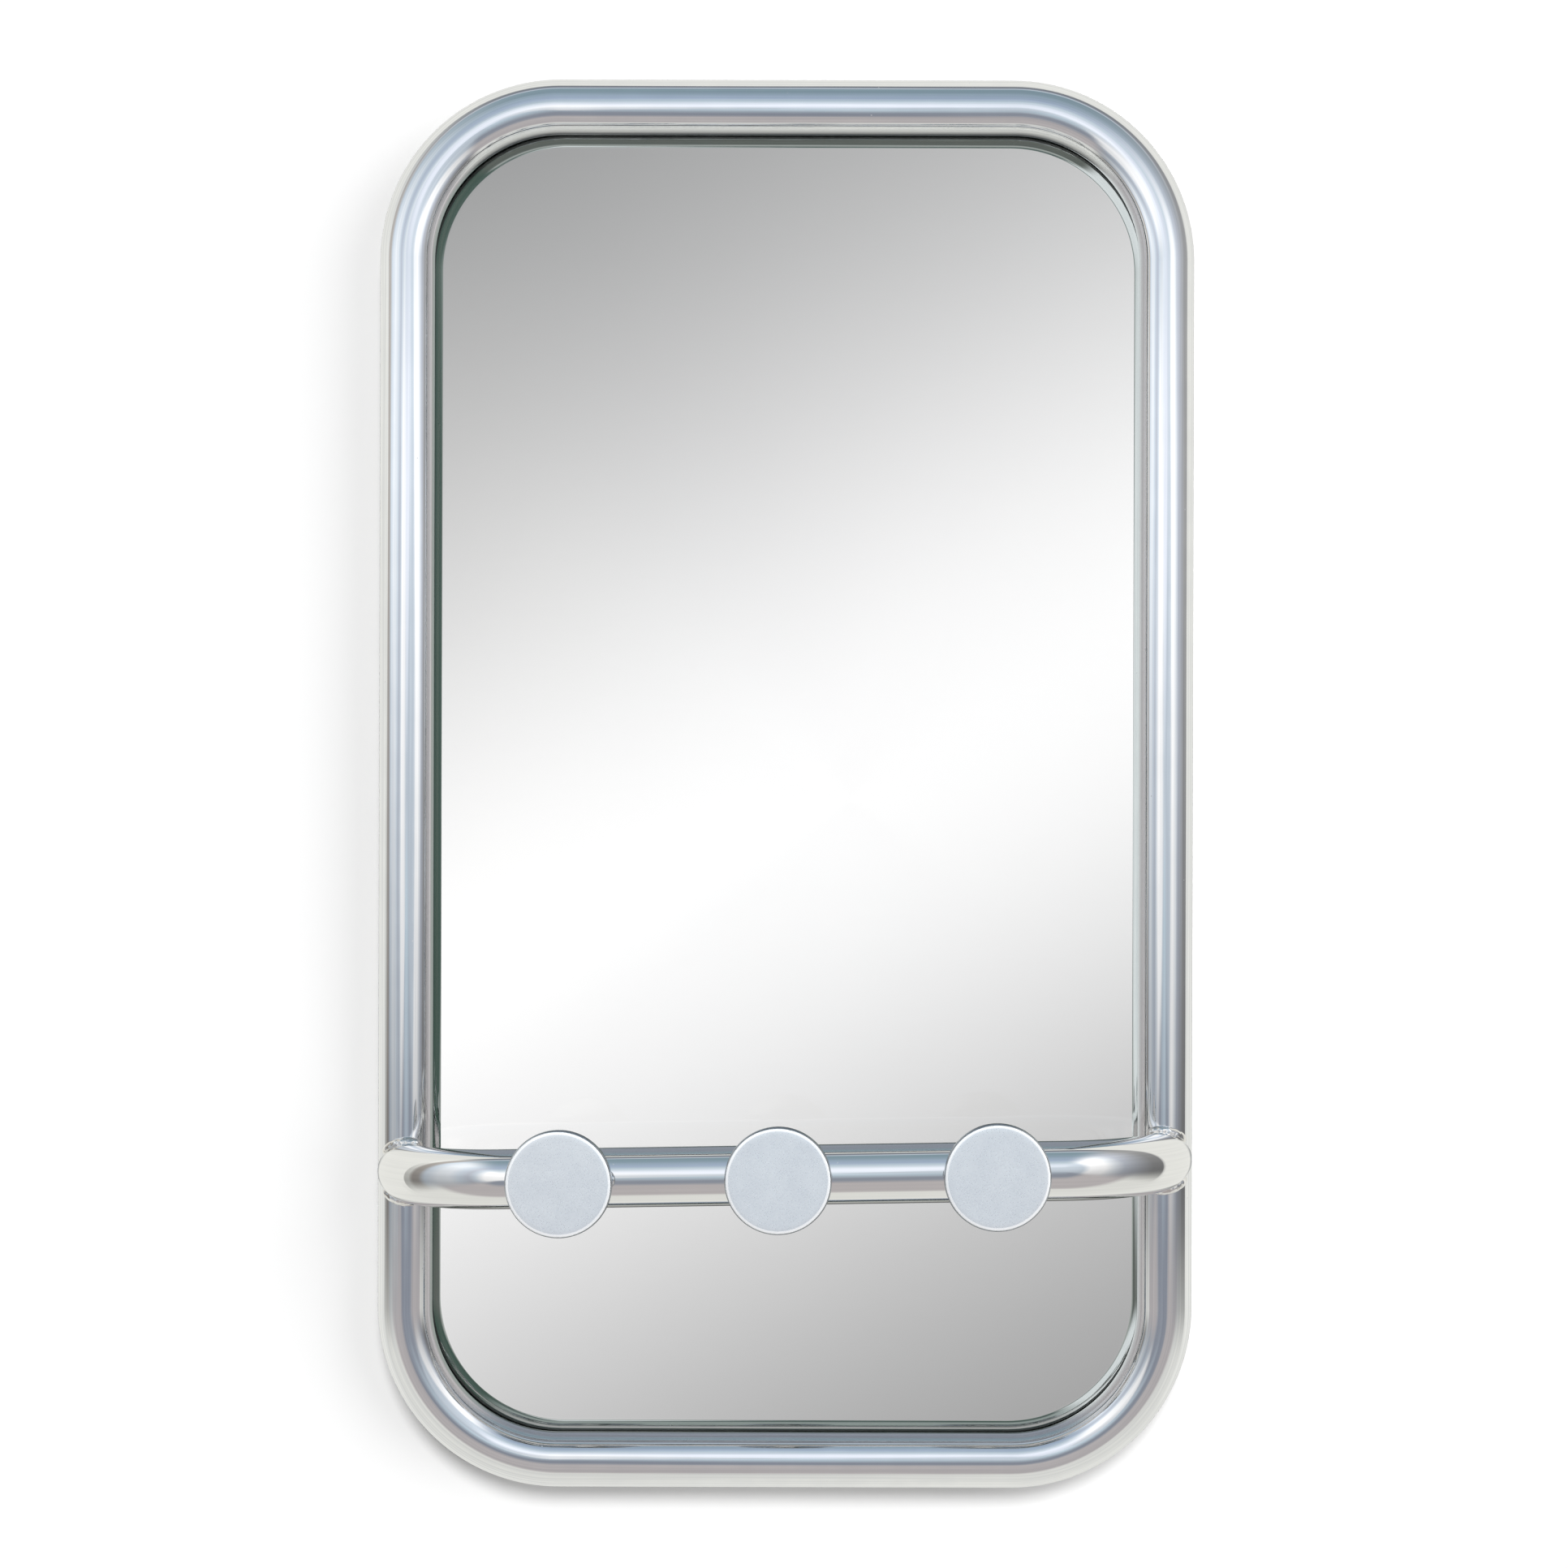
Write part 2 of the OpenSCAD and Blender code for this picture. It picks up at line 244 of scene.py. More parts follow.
class Groups:
    """The node groups that more than one material uses, each built once."""

    def __init__(self) -> None:
        """Starts with no group built."""
        self.built: dict[str, bpy.types.NodeTree] = {}

    def get(self, name: str, inputs: dict[str, str], outputs: dict[str, str],
            fill: Callable[[ShaderTree, bpy.types.Node], dict]) -> bpy.types.NodeTree:
        """Builds a group, or gives the one that was built before.

        Args:
            name: The group's name.
            inputs: Socket types by the names of the inputs.
            outputs: Socket types by the names of the outputs.
            fill: Adds the group's nodes and returns what its outputs give.

        Returns:
            The group's tree.
        """
        if name in self.built:
            return self.built[name]
        tree = bpy.data.node_groups.new(name, "ShaderNodeTree")
        for socket, kind in inputs.items():
            tree.interface.new_socket(socket, in_out="INPUT", socket_type=kind)
        for socket, kind in outputs.items():
            tree.interface.new_socket(socket, in_out="OUTPUT", socket_type=kind)
        nodes = ShaderTree(tree)
        given = nodes.add("NodeGroupInput")
        nodes.add("NodeGroupOutput", fill(nodes, given))
        self.built[name] = tree
        return tree

    def streaks(self) -> bpy.types.NodeTree:
        """Gives the fine lines of a brushed metal, and the gentle waves under them."""
        return self.get("brushed_streaks", {"Place": VECTOR, "Density": VECTOR, "Waves": VECTOR},
                        {"Lines": VALUE, "Waves": VALUE}, fill_streaks)

    def blotches(self) -> bpy.types.NodeTree:
        """Gives soft patches of handling and polish, from 0 to 1."""
        return self.get("soft_blotches", {"Place": VECTOR, "Scale": VALUE, "Softness": VALUE},
                        {"Mask": VALUE}, fill_blotches)

    def specks(self) -> bpy.types.NodeTree:
        """Gives sparse small specks of polish and dust, from 0 to 1."""
        return self.get("small_specks", {"Place": VECTOR, "Scale": VALUE, "Share": VALUE},
                        {"Mask": VALUE}, fill_specks)

    def light(self, bands: "LightBands") -> bpy.types.NodeTree:
        """Gives the light that comes from each direction, in one set of bands."""
        return self.get(bands.name, {"Direction": VECTOR}, {"Color": "NodeSocketColor"}, bands.fill)


def fill_streaks(nodes: ShaderTree, given: bpy.types.Node) -> dict:
    """Adds the two noises of a brushed metal.

    Args:
        nodes: The group's tree.
        given: The group's input node, with Place, Density and Waves.

    Returns:
        The lines and the waves, for the group's outputs.
    """
    place = given.outputs["Place"]
    fine = nodes.vector_math("MULTIPLY", place, given.outputs["Density"])
    broad = nodes.vector_math("MULTIPLY", place, given.outputs["Waves"])
    return {"Lines": nodes.noise(fine, 1.0, detail=3.0), "Waves": nodes.noise(broad, 1.0, detail=1.0)}


def fill_blotches(nodes: ShaderTree, given: bpy.types.Node) -> dict:
    """Adds a cloudy noise that is cut to soft patches.

    Args:
        nodes: The group's tree.
        given: The group's input node, with Place, Scale and Softness.

    Returns:
        The mask, for the group's output.
    """
    middle = 0.5
    cloud = nodes.noise(given.outputs["Place"], given.outputs["Scale"], detail=4.0)
    half = nodes.math("MULTIPLY", given.outputs["Softness"], 0.5)
    edges = (nodes.math("SUBTRACT", middle, half), nodes.math("ADD", middle, half))
    return {"Mask": nodes.remap(cloud, edges, (0.0, 1.0))}


def fill_specks(nodes: ShaderTree, given: bpy.types.Node) -> dict:
    """Adds dots in a few of the cells of a loose pattern.

    Args:
        nodes: The group's tree.
        given: The group's input node, with Place, Scale and Share.

    Returns:
        The mask, for the group's output.
    """
    dot_edge = (0.10, 0.16)
    inputs = {"Vector": given.outputs["Place"], "Scale": given.outputs["Scale"]}
    cells = nodes.add("ShaderNodeTexVoronoi", inputs, feature="F1")
    dot = nodes.remap(cells.outputs["Distance"], dot_edge, (1.0, 0.0))
    draw = nodes.add("ShaderNodeSeparateColor", {0: cells.outputs["Color"]}).outputs[0]
    rare = nodes.math("GREATER_THAN", draw, nodes.math("SUBTRACT", 1.0, given.outputs["Share"]))
    return {"Mask": nodes.math("MULTIPLY", dot, rare)}


GROUPS = Groups()


# ---- Studio ----


@dataclass(frozen=True)
class Tone:
    """A tone of light in the studio, as a screen colour and a gain."""

    colour: Rgb
    gain: float = 1.0


PANEL = Tone((255, 255, 255), 1.08)
VEIL = Tone((230, 235, 240))
HAZE = Tone((205, 215, 225))
GAP = Tone((190, 195, 205))
TAUPE = Tone((170, 165, 160))
SHADE = Tone((150, 150, 150))
WALL_TONE = Tone((225, 225, 220))
CHALK = Tone((235, 235, 230))
BEHIND = Tone((105, 110, 115))
BRIGHT_SKY = Tone((240, 245, 255))
LOW_SKY = Tone((185, 200, 210))
MID_SKY = Tone((160, 175, 195))
HIGH_SKY = Tone((130, 150, 160))
HORIZON = Tone((135, 140, 150))
FLOOR_TONE = Tone((175, 170, 170))
FLOOR_PALE = Tone((215, 215, 210))
PALE_STONE = Tone((200, 195, 195))
SILVER_GREY = Tone((215, 220, 220))
BOTTLE_GREEN = Tone((60, 80, 70))
DEEP_GREEN = Tone((70, 85, 80))
OLIVE = Tone((90, 95, 90))
PALE_MOSS = Tone((155, 160, 155))
SAGE = Tone((135, 145, 140))
DARK = Tone((60, 60, 60))
DUSK = Tone((80, 90, 90))


@dataclass(frozen=True)
class LightBands:
    """Light by the angle from straight in front of the mirror, in degrees.

    Angles along the level run to the right, and upright ones run up. Past 90 degrees lies the wall. A
    direction between level and upright turns from one set to the other as the upright share of its
    square grows over the range that is given above and below the level.
    """

    name: str
    level: tuple[tuple[float, Tone], ...]
    upright: tuple[tuple[float, Tone], ...]
    metal_share: float = 0.90
    peak: float = 2.0
    dim_at_level: float = 0.85
    dim_slope: float = 0.80
    dim_range: tuple[float, float] = (0.4, 1.12)
    turn_above: tuple[float, float] = (0.30, 0.95)
    turn_below: tuple[float, float] = (0.20, 0.51)
    wall_edge: float = 0.02

    def stops(self, bands: tuple[tuple[float, Tone], ...]) -> list[tuple[float, tuple]]:
        """Turns bands of light into the stops of a ramp.

        Args:
            bands: Angles with their tones.

        Returns:
            Positions from 0 to 1 with linear colours, under the peak.
        """
        half_turn = 180
        full = 1 / (self.metal_share * self.peak)
        return [((angle + half_turn) / (2 * half_turn), linear(tone.colour, tone.gain * full))
                for angle, tone in bands]

    def fill(self, nodes: ShaderTree, given: bpy.types.Node) -> dict:
        """Adds the nodes that find the light of a direction.

        Args:
            nodes: The group's tree.
            given: The group's input node, with Direction.

        Returns:
            The colour, for the group's output.
        """
        way = nodes.vector_math("NORMALIZE", given.outputs["Direction"])
        x, y, z = nodes.add("ShaderNodeSeparateXYZ", {0: way}).outputs
        off_axis = nodes.math("ARCCOSINE", nodes.math("MULTIPLY", y, -1.0))
        half = nodes.math("DIVIDE", off_axis, 2 * math.pi)
        ramps = []
        for part, bands in ((x, self.level), (z, self.upright)):
            signed = nodes.math("MULTIPLY", half, nodes.math("SIGN", part))
            ramps.append(nodes.ramp(nodes.math("ADD", signed, 0.5), self.stops(bands)))
        x_square = nodes.math("MULTIPLY", x, x)
        z_square = nodes.math("MULTIPLY", z, z)
        both = nodes.math("ADD", nodes.math("ADD", x_square, z_square), 1e-6)
        above = nodes.math("GREATER_THAN", z, 0.0)
        turn = [nodes.math("MULTIPLY_ADD", above, over - under, under)
                for under, over in zip(self.turn_below, self.turn_above)]
        upright_share = nodes.remap(nodes.math("DIVIDE", z_square, both), turn, (0.0, 1.0))
        dim = nodes.math("MULTIPLY_ADD", z, self.dim_slope, self.dim_at_level)
        dim = nodes.math("MINIMUM", nodes.math("MAXIMUM", dim, self.dim_range[0]), self.dim_range[1])
        in_front = nodes.remap(y, (-self.wall_edge, 0.0), (1.0, 0.0))
        plain = nodes.math("SUBTRACT", 1.0, in_front)
        dim = nodes.math("ADD", nodes.math("MULTIPLY", dim, in_front), plain)
        both_ways = nodes.mix(upright_share, nodes.scale(ramps[0], dim), ramps[1])
        return {"Color": nodes.scale(both_ways, self.peak)}


ROOM = LightBands(
    "room_light",
    level=((-168, BEHIND), (-154, WALL_TONE), (-85, WALL_TONE), (-84, TAUPE), (-79, TAUPE), (-75, HAZE),
           (-66, VEIL), (-58, VEIL), (-50, HAZE), (-42, GAP), (-36, HAZE), (-27, PANEL), (-14, PANEL),
           (-8, VEIL), (-1, HAZE), (27, HAZE), (34, PANEL), (47, PANEL), (54, VEIL), (62, GAP),
           (82, SHADE), (89, SHADE), (91, WALL_TONE), (154, WALL_TONE), (168, BEHIND)),
    upright=((-168, BEHIND), (-154, WALL_TONE), (-77, FLOOR_PALE), (-72, FLOOR_PALE), (-66, FLOOR_TONE),
             (-38, FLOOR_TONE), (-28, HORIZON), (-20, HORIZON), (-5, LOW_SKY), (9, BRIGHT_SKY),
             (15, BRIGHT_SKY), (31, LOW_SKY), (40, MID_SKY), (66, HIGH_SKY), (77, HIGH_SKY), (79.5, HAZE),
             (82, HORIZON), (89, BEHIND), (91, WALL_TONE), (154, WALL_TONE), (168, BEHIND)))
# What a tube's flank sees by way of the glass
BY_GLASS = LightBands(
    "light_by_glass",
    level=((-180, BEHIND), (-90, PALE_STONE), (-61, FLOOR_TONE), (-4, SILVER_GREY), (4, BOTTLE_GREEN),
           (12, SAGE), (20, PALE_MOSS), (40, PALE_MOSS), (48, FLOOR_TONE), (55, PALE_STONE),
           (67, FLOOR_TONE), (90, FLOOR_TONE), (180, BEHIND)),
    upright=((-180, BEHIND), (-90, CHALK), (-78, CHALK), (-65, FLOOR_PALE), (-20, DARK), (20, DUSK),
             (29, HORIZON), (60, HORIZON), (80, HIGH_SKY), (180, BEHIND)),
    dim_at_level=1.0, dim_slope=0.0)
# What lights the hidden side of the metal, which only the glass shows
HIDDEN = LightBands(
    "light_on_hidden_side",
    level=((-6, SILVER_GREY), (6, BOTTLE_GREEN)),
    upright=((-84, DEEP_GREEN), (-74, OLIVE), (-33, OLIVE), (-24, PALE_MOSS), (-17, PALE_MOSS),
             (-9, DEEP_GREEN), (15, DEEP_GREEN), (26, SAGE), (64, SAGE), (75, FLOOR_TONE), (82, SAGE),
             (88, DUSK)),
    dim_at_level=1.0, dim_slope=0.0)


@dataclass
class Studio:
    """The camera, the wall that the mirror hangs on, and the light around it."""

    photo_side: float = 1932.0
    axis_px: tuple[float, float] = (1050.0, 985.0)
    centre_px: tuple[float, float] = (968.5, 965.8)
    per_metre: float = 2226.5
    distance: float = 1.9
    roll: float = math.radians(-0.15)
    sensor: float = 36.0
    wall_gap: float = 0.6 * MM
    wall_half: float = 4.0
    wall_top: float = 3.0
    floor_drop: float = 0.55
    floor_depth: float = 4.0
    cove: float = 0.3
    tent: tuple[float, float, float] = (0.5, 1.5, 1.8)
    tent_below: float = 0.4
    ambient: float = 0.30
    wall_share: float = 0.85
    wall_glow: float = 0.04
    mirror_share: float = 0.90
    gradient_slope: float = math.radians(27)
    gradient_middle: float = 0.002
    gradient_width: float = 0.147
    gradient_tint: Rgb = (1.0, 0.982, 0.99)
    gradient_reach: tuple[float, float] = (0.14, 0.21)
    gradient_fade: float = 1.8
    hidden_depth: float = 3.5
    by_glass_depth: float = 4.5
    stage: list[bpy.types.Object] = field(default_factory=list)

    def build(self, tube: "TubePlaces") -> None:
        """Makes the camera, the stage and the lights.

        Args:
            tube: Places of the frame tube, which the photograph's scale comes from.
        """
        self.centre = Vector((0, tube.y, tube.middle_z))
        self.build_camera()
        self.build_backdrop()
        self.build_tent()
        self.build_world()
        self.build_lamps()
        view = bpy.context.scene.view_settings
        view.view_transform = "Standard"

    def build_camera(self) -> None:
        """Stands the camera where the photograph was taken from."""
        data = bpy.data.cameras.new("camera")
        data.sensor_width = self.sensor
        data.lens = self.distance * self.per_metre / self.photo_side * self.sensor
        data.shift_x = (self.photo_side / 2 - self.axis_px[0]) / self.photo_side
        data.shift_y = (self.axis_px[1] - self.photo_side / 2) / self.photo_side
        camera = bpy.data.objects.new("camera", data)
        right = (self.axis_px[0] - self.centre_px[0]) / self.per_metre
        down = (self.axis_px[1] - self.centre_px[1]) / self.per_metre
        camera.location = self.centre + Vector((right, -self.distance, -down))
        camera.rotation_euler = (QUARTER_TURN, self.roll, 0)
        bpy.context.scene.collection.objects.link(camera)
        bpy.context.scene.camera = camera

    def build_backdrop(self) -> None:
        """Makes the white wall, rounded into a pale floor."""
        steps = 12
        bottom = CAD_BOX[0].z - self.floor_drop
        bm = bmesh.new()
        top = bmesh.ops.create_vert(bm, co=(-self.wall_half, self.wall_gap, self.wall_top))["vert"]
        foot = bmesh.ops.extrude_vert_indiv(bm, verts=top)["verts"]
        bmesh.ops.translate(bm, verts=foot, vec=AXIS_Z * (bottom + self.cove - self.wall_top))
        curved = bmesh.ops.spin(bm, geom=foot, cent=foot[0].co - AXIS_Y * self.cove, axis=AXIS_X,
                                dvec=(0, 0, 0), angle=-QUARTER_TURN, steps=steps)["geom_last"]
        made = bmesh.ops.extrude_vert_indiv(bm, verts=verts_of(curved))
        bmesh.ops.translate(bm, verts=made["verts"], vec=-AXIS_Y * self.floor_depth)
        bmesh.ops.remove_doubles(bm, verts=bm.verts[:], dist=1e-5)
        grown = bmesh.ops.extrude_edge_only(bm, edges=bm.edges[:])["geom"]
        bmesh.ops.translate(bm, verts=verts_of(grown), vec=AXIS_X * 2 * self.wall_half)
        face_towards(bm, Vector((0, -1, 1)))
        wall = stage_object(bm, "backdrop", self.wall_paint())
        wall.visible_glossy = wall.visible_diffuse = wall.visible_transmission = wall.visible_shadow = False
        self.stage.append(wall)

    def wall_paint(self) -> bpy.types.Material:
        """Makes white paint that keeps the mirror's shadow and isn't seen from behind.

        Returns:
            The paint.
        """
        material, nodes, output = new_material("white_wall")
        grain = nodes.noise(object_place(nodes), 9.0, detail=5.0)
        white = nodes.mix(grain, WHITE, (0.985, 0.985, 0.985, 1.0))
        matt = nodes.add("ShaderNodeBsdfDiffuse", {"Color": nodes.scale(white, self.wall_share)})
        seen = nodes.add("ShaderNodeLightPath").outputs["Is Camera Ray"]
        glow = nodes.add("ShaderNodeEmission", {"Strength": nodes.math("MULTIPLY", seen, self.wall_glow)})
        front = nodes.add("ShaderNodeAddShader", {0: matt.outputs[0], 1: glow.outputs[0]})
        back = nodes.add("ShaderNodeBsdfTransparent")
        behind = nodes.add("ShaderNodeNewGeometry").outputs["Backfacing"]
        both = nodes.add("ShaderNodeMixShader", {0: behind, 1: front.outputs[0], 2: back.outputs[0]})
        nodes.feed(output.inputs["Surface"], both.outputs[0])
        return material

    def build_tent(self) -> None:
        """Makes the ring of soft panels that the metal reflects, out of the camera's sight."""
        bm = bmesh.new()
        bmesh.ops.create_uvsphere(bm, u_segments=96, v_segments=48, radius=1.0)
        bmesh.ops.scale(bm, vec=self.tent, verts=bm.verts[:])
        lower = [v for v in bm.verts if v.co.z < 0]
        bmesh.ops.scale(bm, vec=(1, 1, self.tent_below), verts=lower)
        everything = bm.verts[:] + bm.edges[:] + bm.faces[:]
        bmesh.ops.bisect_plane(bm, geom=everything, plane_co=(0, -self.centre.y, 0), plane_no=AXIS_Y,
                               clear_outer=True)
        bmesh.ops.translate(bm, verts=bm.verts[:], vec=self.centre)
        material, nodes, output = new_material("soft_panels")
        way = nodes.vector_math("SUBTRACT", object_place(nodes), tuple(self.centre))
        room, hidden = (light_from(nodes, bands, way) for bands in (ROOM, HIDDEN))
        bounces = nodes.add("ShaderNodeLightPath").outputs["Ray Depth"]
        light = nodes.mix(nodes.math("GREATER_THAN", bounces, self.hidden_depth), room, hidden)
        glow = nodes.add("ShaderNodeEmission", {"Color": light, "Strength": 1.0})
        nodes.feed(output.inputs["Surface"], glow.outputs[0])
        material.cycles.emission_sampling = "NONE"
        tent = stage_object(bm, "light_tent", material)
        tent.visible_camera = tent.visible_diffuse = tent.visible_shadow = tent.visible_transmission = False
        self.stage.append(tent)

    def build_world(self) -> None:
        """Sets the light from far away: the studio, the mirror's plain gradient and an even fill."""
        world = bpy.data.worlds.new("studio")
        world.use_nodes = True
        world.node_tree.nodes.clear()
        world.cycles.sampling_method = "NONE"
        nodes = ShaderTree(world.node_tree)
        way = nodes.add("ShaderNodeTexCoord").outputs["Generated"]
        room, by_glass = (light_from(nodes, bands, way) for bands in (ROOM, BY_GLASS))
        x, y, z = nodes.add("ShaderNodeSeparateXYZ", {0: way}).outputs
        forward = nodes.math("MAXIMUM", nodes.math("MULTIPLY", y, -1.0), 1e-4)
        across = nodes.math("DIVIDE", x, forward)
        upward = nodes.math("DIVIDE", z, forward)
        tilted = nodes.math("ADD", nodes.math("MULTIPLY", across, -math.sin(self.gradient_slope)),
                            nodes.math("MULTIPLY", upward, math.cos(self.gradient_slope)))
        off = nodes.math("DIVIDE", nodes.math("SUBTRACT", tilted, self.gradient_middle), self.gradient_width)
        fall = nodes.math("ADD", nodes.math("MULTIPLY", off, off), 1.0)
        bright = nodes.math("DIVIDE", 1 / self.mirror_share, fall)
        shares = [nodes.math("DIVIDE", nodes.math("ABSOLUTE", part), reach)
                  for part, reach in zip((across, upward), self.gradient_reach)]
        inside = nodes.remap(nodes.math("MAXIMUM", *shares), (1.0, self.gradient_fade), (1.0, 0.0))
        path = nodes.add("ShaderNodeLightPath").outputs
        late = nodes.math("GREATER_THAN", path["Ray Depth"], self.by_glass_depth)
        in_mirror = nodes.mix(inside, room, nodes.scale(self.gradient_tint, bright))
        from_glass = nodes.mix(late, in_mirror, by_glass)
        seen = nodes.mix(path["Is Transmission Ray"], room, from_glass)
        fill = (self.ambient, self.ambient, self.ambient, 1.0)
        lit = nodes.mix(path["Is Diffuse Ray"], seen, fill)
        final = nodes.mix(path["Is Camera Ray"], lit, WHITE)
        background = nodes.add("ShaderNodeBackground", {"Color": final, "Strength": 1.0})
        nodes.add("ShaderNodeOutputWorld", {"Surface": background.outputs[0]})
        bpy.context.scene.world = world

    def build_lamps(self) -> None:
        """Hangs the wide key lamp at the right, a top lamp in front and a weak one behind the wall."""
        for lamp in (SoftLamp("key_lamp", azimuth=50, elevation=12, spread=50, strength=1.5),
                     SoftLamp("top_lamp", azimuth=3, elevation=22, spread=16, strength=2.1),
                     SoftLamp("back_lamp", azimuth=-145, elevation=25, spread=50, strength=1.2)):
            lamp.hang()


@dataclass(frozen=True)
class SoftLamp:
    """A far soft lamp that lights evenly and isn't seen in the metal."""

    name: str
    azimuth: float
    elevation: float
    spread: float
    strength: float

    def hang(self) -> None:
        """Adds the lamp, at its angles from straight in front of the mirror."""
        data = bpy.data.lights.new(self.name, "SUN")
        data.energy = self.strength
        data.angle = math.radians(self.spread)
        lamp = bpy.data.objects.new(self.name, data)
        lamp.rotation_euler = (QUARTER_TURN - math.radians(self.elevation), 0, math.radians(self.azimuth))
        lamp.visible_glossy = lamp.visible_camera = lamp.visible_transmission = False
        bpy.context.scene.collection.objects.link(lamp)


def light_from(nodes: ShaderTree, bands: LightBands, way: bpy.types.NodeSocket) -> bpy.types.NodeSocket:
    """Gives the light of one set of bands from a direction."""
    return nodes.group(GROUPS.light(bands), {"Direction": way}).outputs["Color"]


# ---- Meshes ----


def new_material(name: str) -> tuple[bpy.types.Material, ShaderTree, bpy.types.Node]:
    """Makes a material with only its output.

    Args:
        name: The material's name.

    Returns:
        The material, its tree and its output node.
    """
    material = bpy.data.materials.new(name)
    material.use_nodes = True
    material.node_tree.nodes.clear()
    nodes = ShaderTree(material.node_tree)
    return material, nodes, nodes.add("ShaderNodeOutputMaterial")


def object_place(nodes: ShaderTree) -> bpy.types.NodeSocket:
    """Gives the place of a point on its piece, in metres."""
    return nodes.add("ShaderNodeTexCoord").outputs["Object"]


def verts_of(made: Iterable[object]) -> list[bmesh.types.BMVert]:
    """Picks the points out of what an operator made."""
    return [part for part in made if isinstance(part, bmesh.types.BMVert)]


def far_edges(made: Sequence[object]) -> list[bmesh.types.BMEdge]:
    """Picks the edges at the far end of an extrusion."""
    far = set(verts_of(made))
    return [part for part in made if isinstance(part, bmesh.types.BMEdge) and set(part.verts) <= far]


def edges_at(verts: Iterable[bmesh.types.BMVert]) -> list[bmesh.types.BMEdge]:
    """Gives every edge that meets one of the points, once."""
    return list({edge for vert in verts for edge in vert.link_edges})


def round_off(bm: bmesh.types.BMesh, parts: list, size: float, segments: int, affect: str = "EDGES") -> dict:
    """Rounds edges or corners.

    Args:
        bm: The mesh.
        parts: The edges, or the points of the corners.
        size: How far the round reaches from each.
        segments: Its steps.
        affect: EDGES, or VERTICES for corners.

    Returns:
        What the bevel made.
    """
    return bmesh.ops.bevel(bm, geom=parts, offset=size, offset_type="OFFSET", segments=segments,
                           profile=0.5, affect=affect, material=-1)


def sharp_edges(bm: bmesh.types.BMesh) -> list[bmesh.types.BMEdge]:
    """Gives the edges with a crease."""
    return [edge for edge in bm.edges if edge.calc_face_angle(0.0) > CREASE]


def gather(parts: Iterable[bmesh.types.BMesh]) -> bmesh.types.BMesh:
    """Puts meshes into one and frees them.

    Args:
        parts: The meshes.

    Returns:
        All of them as one mesh.
    """
    together = bmesh.new()
    for part in parts:
        scratch = bpy.data.meshes.new("part")
        part.to_mesh(scratch)
        part.free()
        together.from_mesh(scratch)
        bpy.data.meshes.remove(scratch)
    return together


def new_object(bm: bmesh.types.BMesh, name: str, materials: Sequence[bpy.types.Material]) -> bpy.types.Object:
    """Turns a bmesh into an object in the scene.

    Args:
        bm: The mesh, which is freed.
        name: The object's name.
        materials: Its materials, in slot order.

    Returns:
        The object.
    """
    mesh = bpy.data.meshes.new(name)
    bm.to_mesh(mesh)
    bm.free()
    for material in materials:
        mesh.materials.append(material)
    made = bpy.data.objects.new(name, mesh)
    bpy.context.scene.collection.objects.link(made)
    return made


def stage_object(bm: bmesh.types.BMesh, name: str, material: bpy.types.Material) -> bpy.types.Object:
    """Makes a smooth object of the stage.

    Args:
        bm: The mesh, which is freed.
        name: The object's name.
        material: Its material.

    Returns:
        The object.
    """
    for face in bm.faces:
        face.smooth = True
    return new_object(bm, name, [material])


def face_towards(bm: bmesh.types.BMesh, way: Vector) -> None:
    """Turns every face of an open sheet to the same side.

    Args:
        bm: The sheet.
        way: A direction on the side that the faces should look to.
    """
    bmesh.ops.recalc_face_normals(bm, faces=bm.faces[:])
    if sum(face.normal.dot(way) * face.calc_area() for face in bm.faces) < 0:
        bmesh.ops.reverse_faces(bm, faces=bm.faces[:])


def finish_piece(bm: bmesh.types.BMesh, name: str, materials: Sequence[bpy.types.Material],
                 stands_for: Sequence[str]) -> bpy.types.Object:
    """Shades a mesh, makes it a piece of the mirror and lets it stand for its nodes.

    Args:
        bm: The mesh, which is freed.
        name: The piece's name.
        materials: Its materials, in slot order.
        stands_for: The nodes that it replaces.

    Returns:
        The piece.
    """
    for face in bm.faces:
        face.smooth = True
    for edge in bm.edges:
        edge.smooth = edge.calc_face_angle(0.0) < CREASE
    piece = new_object(bm, name, materials)
    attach(piece, BODY)
    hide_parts(*stands_for)
    log.info("%s stands for %s, with %d faces", name, ", ".join(stands_for), len(piece.data.polygons))
    return piece


def subtract(bm: bmesh.types.BMesh, *cutters: bmesh.types.BMesh) -> bmesh.types.BMesh:
    """Cuts closed meshes out of another.

    Args:
        bm: The mesh to cut, which is freed.
        *cutters: The meshes to take away, which are freed.

    Returns:
        What is left.
    """
    target = new_object(bm, "cut_piece", [])
    tools = [new_object(cutter, "cut_tool", []) for cutter in cutters]
    for tool in tools:
        cut = target.modifiers.new("cut", "BOOLEAN")
        cut.operation, cut.solver, cut.object = "DIFFERENCE", "EXACT", tool
    graph = bpy.context.evaluated_depsgraph_get()
    left = bmesh.new()
    left.from_mesh(target.evaluated_get(graph).to_mesh())
    for used in (target, *tools):
        data = used.data
        bpy.data.objects.remove(used)
        bpy.data.meshes.remove(data)
    return left


def rod(radius: float, start: Vector, end: Vector, sides: int = 96) -> bmesh.types.BMesh:
    """Makes a plain closed bar, to cut with or to build on.

    Args:
        radius: Its radius.
        start: The middle of one end.
        end: The middle of the other end.
        sides: Its sides.

    Returns:
        The bar.
    """
    bm = bmesh.new()
    way = end - start
    turn = way.to_track_quat("Z", "Y").to_matrix().to_4x4()
    place = Matrix.Translation((start + end) / 2) @ turn
    bmesh.ops.create_cone(bm, cap_ends=True, segments=sides, radius1=radius, radius2=radius,
                          depth=way.length, matrix=place)
    return bm


